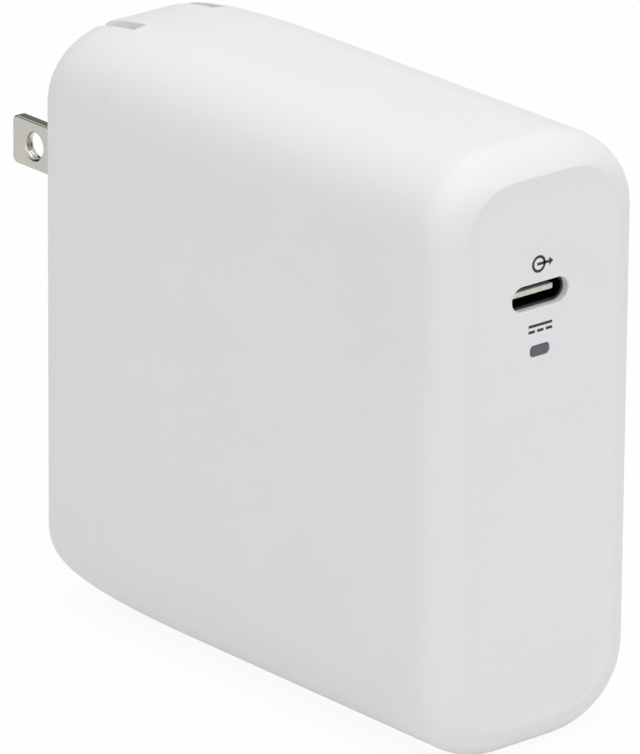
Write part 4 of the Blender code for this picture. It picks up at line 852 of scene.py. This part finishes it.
class Shader:
    """A small builder of procedural materials on one Principled shader."""

    def __init__(self, name, color, roughness, metallic=0.0):
        self.material = bpy.data.materials.new(name)
        self.material.use_nodes = True
        self.tree = self.material.node_tree
        self.shader = self.tree.nodes["Principled BSDF"]
        self.shader.inputs["Base Color"].default_value = (*color, 1.0)
        self.shader.inputs["Roughness"].default_value = roughness
        self.shader.inputs["Metallic"].default_value = metallic
        self.coordinates = self.tree.nodes.new("ShaderNodeTexCoord").outputs["Object"]
        self.color = color
        self.roughness = roughness

    def node(self, kind, **values):
        node = self.tree.nodes.new(kind)
        for key, value in values.items():
            setattr(node, key, value)
        return node

    def link(self, source, target):
        self.tree.links.new(source, target)

    def noise(self, scale, detail=3.0, stretch=(1.0, 1.0, 1.0)):
        mapping = self.node("ShaderNodeMapping")
        mapping.inputs["Scale"].default_value = stretch
        self.link(self.coordinates, mapping.inputs["Vector"])
        noise = self.node("ShaderNodeTexNoise")
        noise.inputs["Scale"].default_value = scale
        noise.inputs["Detail"].default_value = detail
        self.link(mapping.outputs["Vector"], noise.inputs["Vector"])
        return noise.outputs["Fac"]

    def spread(self, factor, low, high):
        """Maps a 0 to 1 factor to a range of values."""
        node = self.node("ShaderNodeMapRange")
        node.inputs["From Min"].default_value = NOISE_LOW
        node.inputs["From Max"].default_value = NOISE_HIGH
        node.inputs["To Min"].default_value = low
        node.inputs["To Max"].default_value = high
        self.link(factor, node.inputs["Value"])
        return node.outputs["Result"]

    def mix_colors(self, factor, first, second):
        node = self.node("ShaderNodeMix", data_type="RGBA")
        node.inputs["A"].default_value = (*first, 1.0)
        node.inputs["B"].default_value = (*second, 1.0)
        self.link(factor, node.inputs["Factor"])
        self.link(node.outputs["Result"], self.shader.inputs["Base Color"])
        return self

    def tint(self, scale, amount):
        """Slight, broad variation of the base colour."""
        low = tuple(c * (1 - amount) for c in self.color)
        high = tuple(min(c * (1 + amount), 1.0) for c in self.color)
        return self.mix_colors(self.spread(self.noise(scale), 0.0, 1.0), low, high)

    def gloss(self, scale, amount, stretch=(1.0, 1.0, 1.0)):
        """Fine variation of the roughness, to either side of its value."""
        low = max(self.roughness - amount, LEAST_ROUGHNESS)
        spread = self.spread(self.noise(scale, 4.0, stretch), low, self.roughness + amount)
        self.link(spread, self.shader.inputs["Roughness"])
        return self

    def relief(self, factor, height):
        """Bumps of a height, in metres, where the factor is 1."""
        bump = self.node("ShaderNodeBump")
        bump.inputs["Strength"].default_value = 1.0
        bump.inputs["Distance"].default_value = height
        self.link(factor, bump.inputs["Height"])
        self.link(bump.outputs["Normal"], self.shader.inputs["Normal"])
        return self

    def bump(self, scale, height, stretch=(1.0, 1.0, 1.0)):
        return self.relief(self.noise(scale, 2.0, stretch), height)

    def waves(self, scale, height, direction="X"):
        """Parallel ridges, as of wound wire."""
        wave = self.node("ShaderNodeTexWave", bands_direction=direction)
        wave.inputs["Scale"].default_value = scale
        self.link(self.coordinates, wave.inputs["Vector"])
        return self.relief(wave.outputs["Fac"], height)

    def calculate(self, operation, first, second=0.0):
        """A maths node on an output and either a number or another output."""
        node = self.node("ShaderNodeMath", operation=operation)
        self.link(first, node.inputs[0])
        if isinstance(second, float):
            node.inputs[1].default_value = second
        else:
            self.link(second, node.inputs[1])
        return node.outputs["Value"]

    def distance_x(self, vector):
        """How far a vector reaches along X, either way."""
        node = self.node("ShaderNodeSeparateXYZ")
        self.link(vector, node.inputs["Vector"])
        return self.calculate("ABSOLUTE", node.outputs["X"])

    def paint_light_on_walls(self, middle, half, tone):
        """Painted light: a paler tone on walls that face along X, within half of x = middle and x =
        -middle.
        """
        offset = self.calculate("SUBTRACT", self.distance_x(self.coordinates), middle)
        near = self.calculate("LESS_THAN", self.calculate("ABSOLUTE", offset), half)
        facing = self.node("ShaderNodeTexCoord").outputs["Normal"]
        across = self.calculate("GREATER_THAN", self.distance_x(facing), SLOT_WALL_FACING)
        color = self.shader.inputs["Base Color"].links[0].from_socket
        node = self.node("ShaderNodeMix", data_type="RGBA")
        node.inputs["B"].default_value = (tone, tone, tone, 1.0)
        self.link(color, node.inputs["A"])
        self.link(self.calculate("MULTIPLY", near, across), node.inputs["Factor"])
        self.link(node.outputs["Result"], self.shader.inputs["Base Color"])
        return self


def case_shader(name):
    """White moulded plastic with a satin gloss."""
    shader = Shader(name, (0.80, 0.81, 0.82), 0.55)
    return shader.tint(60.0, 0.006).gloss(900.0, 0.03).bump(5200.0, 0.0000012)


def cover_material_with_painted_light():
    """The case's plastic with painted light on the slots' walls: a paler colour there stands in for
    the light that comes through the plastic.
    """
    reach = SLOT_WIDTH / 2 * SLOT_WALL_REACH
    return case_shader("cover_plastic_painted_light").paint_light_on_walls(BLADE_X, reach, SLOT_PAINTED_LIGHT_TONE).material


def rotor_material():
    shader = Shader("rotor_plastic", (0.78, 0.79, 0.80), 0.40)
    return shader.tint(80.0, 0.01).gloss(900.0, 0.04).bump(4200.0, 0.000002).material


def nickel_material():
    shader = Shader("nickel", (0.53, 0.52, 0.47), 0.16, 1.0)
    shader.tint(260.0, 0.03).gloss(700.0, 0.05, (1.0, 0.2, 1.0))
    return shader.bump(2600.0, 0.0000009, (1.0, 0.15, 1.0)).material


def receptacle_painted_shade_material():
    # Painted shade: the receptacle's steel is near black, in place of the shade inside the port's
    # mouth
    shader = Shader("receptacle_steel_painted_shade", (0.05, 0.048, 0.045), 0.34, 1.0)
    return shader.tint(300.0, 0.04).gloss(900.0, 0.06).bump(2400.0, 0.000001).material


def steel_material():
    shader = Shader("steel", (0.58, 0.58, 0.59), 0.30, 1.0)
    shader.tint(300.0, 0.04).gloss(900.0, 0.08, (1.0, 0.15, 1.0))
    return shader.bump(2400.0, 0.000001).material


def aluminium_material():
    shader = Shader("aluminium", (0.72, 0.73, 0.75), 0.38, 1.0)
    shader.tint(200.0, 0.03).gloss(800.0, 0.08, (0.2, 1.0, 1.0))
    return shader.bump(2200.0, 0.0000015).material


def copper_material():
    shader = Shader("copper", (0.72, 0.42, 0.26), 0.35, 1.0)
    return shader.tint(300.0, 0.08).waves(500.0, 0.00006, "Y").material


def board_material():
    """Green solder mask with slightly paler tracks."""
    shader = Shader("board", (0.05, 0.22, 0.10), 0.50)
    cells = shader.node("ShaderNodeTexVoronoi", feature="DISTANCE_TO_EDGE")
    cells.inputs["Scale"].default_value = 320.0
    shader.link(shader.coordinates, cells.inputs["Vector"])
    edge = shader.node("ShaderNodeMapRange")
    edge.inputs["From Min"].default_value = 0.03
    edge.inputs["From Max"].default_value = 0.05
    shader.link(cells.outputs["Distance"], edge.inputs["Value"])
    shader.mix_colors(edge.outputs["Result"], (0.08, 0.30, 0.14), (0.045, 0.20, 0.09))
    return shader.gloss(600.0, 0.06).material


def plain_material(name, color, roughness, tint=0.05, grain=1500.0, height=0.000004):
    """Any material without metal or pattern, with some tint, gloss and grain."""
    shader = Shader(name, color, roughness)
    return shader.tint(240.0, tint).gloss(700.0, 0.05).bump(grain, height).material


def guide_material():
    shader = Shader("light_guide", (0.098, 0.102, 0.118), 0.32)
    return shader.tint(900.0, 0.05).gloss(900.0, 0.04).bump(2600.0, 0.000002).material


def tongue_material():
    shader = Shader("tongue", (0.045, 0.043, 0.04), 0.5)
    return shader.tint(500.0, 0.05).gloss(900.0, 0.05).bump(2600.0, 0.000002).material


def lip_material():
    shader = Shader("tongue_lip", (0.86, 0.82, 0.74), 0.35)
    return shader.tint(1500.0, 0.08).gloss(1600.0, 0.08).bump(2600.0, 0.000003).material


def make_materials():
    return {
        "case_plastic": case_shader("case_plastic").material,
        "cover_plastic_painted_light": cover_material_with_painted_light(),
        "rotor_plastic": rotor_material(),
        "nickel": nickel_material(),
        "steel": steel_material(),
        "receptacle": receptacle_painted_shade_material(),
        "copper": copper_material(),
        "aluminium": aluminium_material(),
        "board": board_material(),
        "ferrite": plain_material("ferrite", (0.06, 0.06, 0.065), 0.60, 0.15, 2600.0, 0.00002),
        "tape": plain_material("tape", (0.80, 0.66, 0.12), 0.45, 0.04),
        "sleeve": plain_material("sleeve", (0.03, 0.03, 0.04), 0.40, 0.05),
        "yellow_case": plain_material("yellow_case", (0.78, 0.62, 0.10), 0.50, 0.04),
        "blue_epoxy": plain_material("blue_epoxy", (0.05, 0.16, 0.42), 0.45, 0.06),
        "chip": plain_material("chip", (0.03, 0.03, 0.03), 0.55, 0.08, 2400.0, 0.000006),
        "pad": plain_material("pad", (0.45, 0.52, 0.60), 0.80, 0.05, 1800.0, 0.00002),
        "film": plain_material("film", (0.04, 0.04, 0.04), 0.35, 0.04),
        "light_guide": guide_material(),
        "lead_jacket": plain_material("lead_jacket", (0.70, 0.05, 0.04), 0.50, 0.04),
        "tongue": tongue_material(),
        "tongue_lip": lip_material(),
        "mark": plain_material("mark_ink", (0.02, 0.02, 0.022), 0.50, 0.05),
    }


# ---------------------------------------------------------------- assembly


def dress_inner_parts(frame, materials):
    """Gives each carried-over part the material of its slot in the record."""
    slots = {entry["node"]: entry["material_slot"] for entry in frame["record"]["subparts"]}
    for name, node in frame["nodes"].items():
        node.data.materials.clear()
        node.data.materials.append(materials[slots[name]])


def build_pieces(materials):
    """Makes every piece of the visual model; the rest are the part's own solids."""
    dress(case_front(), materials["case_plastic"], "case_plastic", "housing", "front_shell")
    dress(case_rear(), materials["cover_plastic_painted_light"], "case_plastic", "housing", "rear_cover")
    dress(prong(-1), materials["nickel"], "nickel", "prongs", "blade_left")
    dress(prong(1), materials["nickel"], "nickel", "prongs", "blade_right")
    dress(rotor(), materials["rotor_plastic"], "rotor_plastic", "prongs", "prong_rotor")
    dress(receptacle(), materials["receptacle"], "steel", "housing", "usb_shell")
    dress(tongue(), materials["tongue"], "chip", "housing", "usb_tongue")
    dress(tongue_cap(), materials["tongue_lip"], "chip", "housing")
    dress(contact_strips(), materials["copper"], "copper", "housing")
    dress(indicator(), materials["light_guide"], "light_guide", "housing", "light_guide")
    dress(output_mark(), materials["mark"], "chip", "housing")
    dress(current_mark(), materials["mark"], "chip", "housing")


# ---------------------------------------------------------------- studio


def direct_ray(tree):
    """1 for camera, glossy and transmission rays, and 0 for the rest."""
    path = tree.nodes.new("ShaderNodeLightPath")
    total = path.outputs["Is Camera Ray"]
    for name in ("Is Glossy Ray", "Is Transmission Ray"):
        add = tree.nodes.new("ShaderNodeMath")
        add.operation = "ADD"
        add.use_clamp = True
        tree.links.new(total, add.inputs[0])
        tree.links.new(path.outputs[name], add.inputs[1])
        total = add.outputs[0]
    return total


def make_world():
    world = bpy.data.worlds.new("studio")
    bpy.context.scene.world = world
    world.use_nodes = True
    tree = world.node_tree
    background = tree.nodes["Background"]
    background.inputs["Color"].default_value = (1.0, 1.0, 1.0, 1.0)
    strength = tree.nodes.new("ShaderNodeMix")
    strength.inputs["A"].default_value = WORLD_STRENGTH
    strength.inputs["B"].default_value = 1.0
    tree.links.new(direct_ray(tree), strength.inputs["Factor"])
    tree.links.new(strength.outputs["Result"], background.inputs["Strength"])


def floor_material():
    material = bpy.data.materials.new("floor")
    material.use_nodes = True
    tree = material.node_tree
    shader = tree.nodes["Principled BSDF"]
    shader.inputs["Base Color"].default_value = (FLOOR_TONE, FLOOR_TONE, FLOOR_TONE, 1.0)
    shader.inputs["Roughness"].default_value = FLOOR_ROUGHNESS
    glow = tree.nodes.new("ShaderNodeEmission")
    mix = tree.nodes.new("ShaderNodeMixShader")
    share = tree.nodes.new("ShaderNodeMath")
    share.operation = "MULTIPLY"
    share.inputs[1].default_value = FLOOR_GLOW
    tree.links.new(direct_ray(tree), share.inputs[0])
    tree.links.new(share.outputs[0], mix.inputs["Fac"])
    tree.links.new(shader.outputs["BSDF"], mix.inputs[1])
    tree.links.new(glow.outputs["Emission"], mix.inputs[2])
    tree.links.new(mix.outputs["Shader"], tree.nodes["Material Output"].inputs["Surface"])
    return material


def one_face(corners):
    bm = bmesh.new()
    bm.faces.new([bm.verts.new(corner) for corner in corners])
    return bm


def make_floor():
    signs = ((-1, -1), (1, -1), (1, 1), (-1, 1))
    floor = new_object("floor", one_face([(x * FLOOR_HALF, y * FLOOR_HALF, 0.0) for x, y in signs]))
    floor.data.materials.append(floor_material())


def card_material():
    """Dark at the floor, and a little paler higher up."""
    material = bpy.data.materials.new("dark_card")
    material.use_nodes = True
    tree = material.node_tree
    tree.nodes.remove(tree.nodes["Principled BSDF"])
    place = tree.nodes.new("ShaderNodeTexCoord")
    split = tree.nodes.new("ShaderNodeSeparateXYZ")
    ramp = tree.nodes.new("ShaderNodeMapRange")
    ramp.inputs["From Min"].default_value = CARD_HIGH_FROM
    ramp.inputs["From Max"].default_value = CARD_HIGH_FROM + CARD_FADE
    ramp.inputs["To Min"].default_value = CARD_LOW_TONE
    ramp.inputs["To Max"].default_value = CARD_HIGH_TONE
    glow = tree.nodes.new("ShaderNodeEmission")
    tree.links.new(place.outputs["Object"], split.inputs["Vector"])
    tree.links.new(split.outputs["Z"], ramp.inputs["Value"])
    tree.links.new(ramp.outputs["Result"], glow.inputs["Strength"])
    tree.links.new(glow.outputs["Emission"], tree.nodes["Material Output"].inputs["Surface"])
    return material


def make_dark_card():
    """A dark card behind the prongs that only shows in their polished faces."""
    corners = ((-1, 0.0), (1, 0.0), (1, CARD_HEIGHT), (-1, CARD_HEIGHT))
    points = [(side * CARD_HALF_LENGTH, CARD_Y, z) for side, z in corners]
    card = new_object("dark_card", one_face(points))
    card.data.materials.append(card_material())
    card.visible_camera = False
    card.visible_diffuse = False
    card.visible_transmission = False
    card.visible_shadow = False


def area_light(name, direction, distance, size, power):
    """A square soft light that looks at the object's middle from a direction."""
    light = bpy.data.lights.new(name, "AREA")
    light.shape = "SQUARE"
    light.size = size
    light.energy = power
    obj = bpy.data.objects.new(name, light)
    direction = Vector(direction).normalized()
    obj.location = CAMERA_TARGET + direction * distance
    obj.rotation_mode = "QUATERNION"
    obj.rotation_quaternion = direction.to_track_quat("Z", "Y")
    bpy.context.scene.collection.objects.link(obj)


def make_lights():
    area_light("top_light", (0.0, -0.1, 1.0), distance=0.8, size=0.9, power=TOP_POWER)
    area_light("front_light", (0.05, -1.0, 0.45), distance=0.9, size=0.7, power=FRONT_POWER)
    area_light("side_light", (-1.0, -0.3, 0.20), distance=0.9, size=0.7, power=SIDE_POWER)


def camera_axes():
    """Right, down and forward of the photograph's camera, roll included."""
    a, e, r = (math.radians(v) for v in (CAMERA_AZIMUTH, CAMERA_ELEVATION, CAMERA_ROLL))
    flat = math.cos(e)
    forward = -Vector((math.sin(a) * flat, -math.cos(a) * flat, math.sin(e)))
    right = Vector((math.cos(a), math.sin(a), 0.0))
    down = forward.cross(right)
    rolled_right = right * math.cos(r) - down * math.sin(r)
    return rolled_right, right * math.sin(r) + down * math.cos(r), forward


def make_camera():
    right, down, forward = camera_axes()
    offset = TARGET_IN_CAMERA
    place = CAMERA_TARGET - right * offset.x - down * offset.y - forward * offset.z
    camera = bpy.data.cameras.new("camera")
    camera.sensor_fit = "HORIZONTAL"
    camera.sensor_width = SENSOR_WIDTH
    camera.lens = FOCAL_PIXELS / IMAGE_WIDTH * camera.sensor_width
    camera.clip_start = CLIP_START
    camera.clip_end = CLIP_END
    obj = bpy.data.objects.new("camera", camera)
    columns = Matrix((right, -down, -forward)).transposed()
    obj.matrix_world = Matrix.Translation(place) @ columns.to_4x4()
    bpy.context.scene.collection.objects.link(obj)
    bpy.context.scene.camera = obj


with open("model.json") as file:
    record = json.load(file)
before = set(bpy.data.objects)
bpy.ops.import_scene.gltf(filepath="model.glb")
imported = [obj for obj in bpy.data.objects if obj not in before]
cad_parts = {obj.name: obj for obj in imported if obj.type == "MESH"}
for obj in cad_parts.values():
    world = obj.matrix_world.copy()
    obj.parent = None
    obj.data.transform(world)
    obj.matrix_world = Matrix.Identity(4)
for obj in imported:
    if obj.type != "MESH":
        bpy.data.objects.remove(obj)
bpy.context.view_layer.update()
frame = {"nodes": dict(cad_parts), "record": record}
shades = make_materials()
dress_inner_parts(frame, shades)
build_pieces(shades)
make_floor()
make_dark_card()
make_world()
make_lights()
make_camera()
bpy.context.scene.view_settings.view_transform = "Standard"
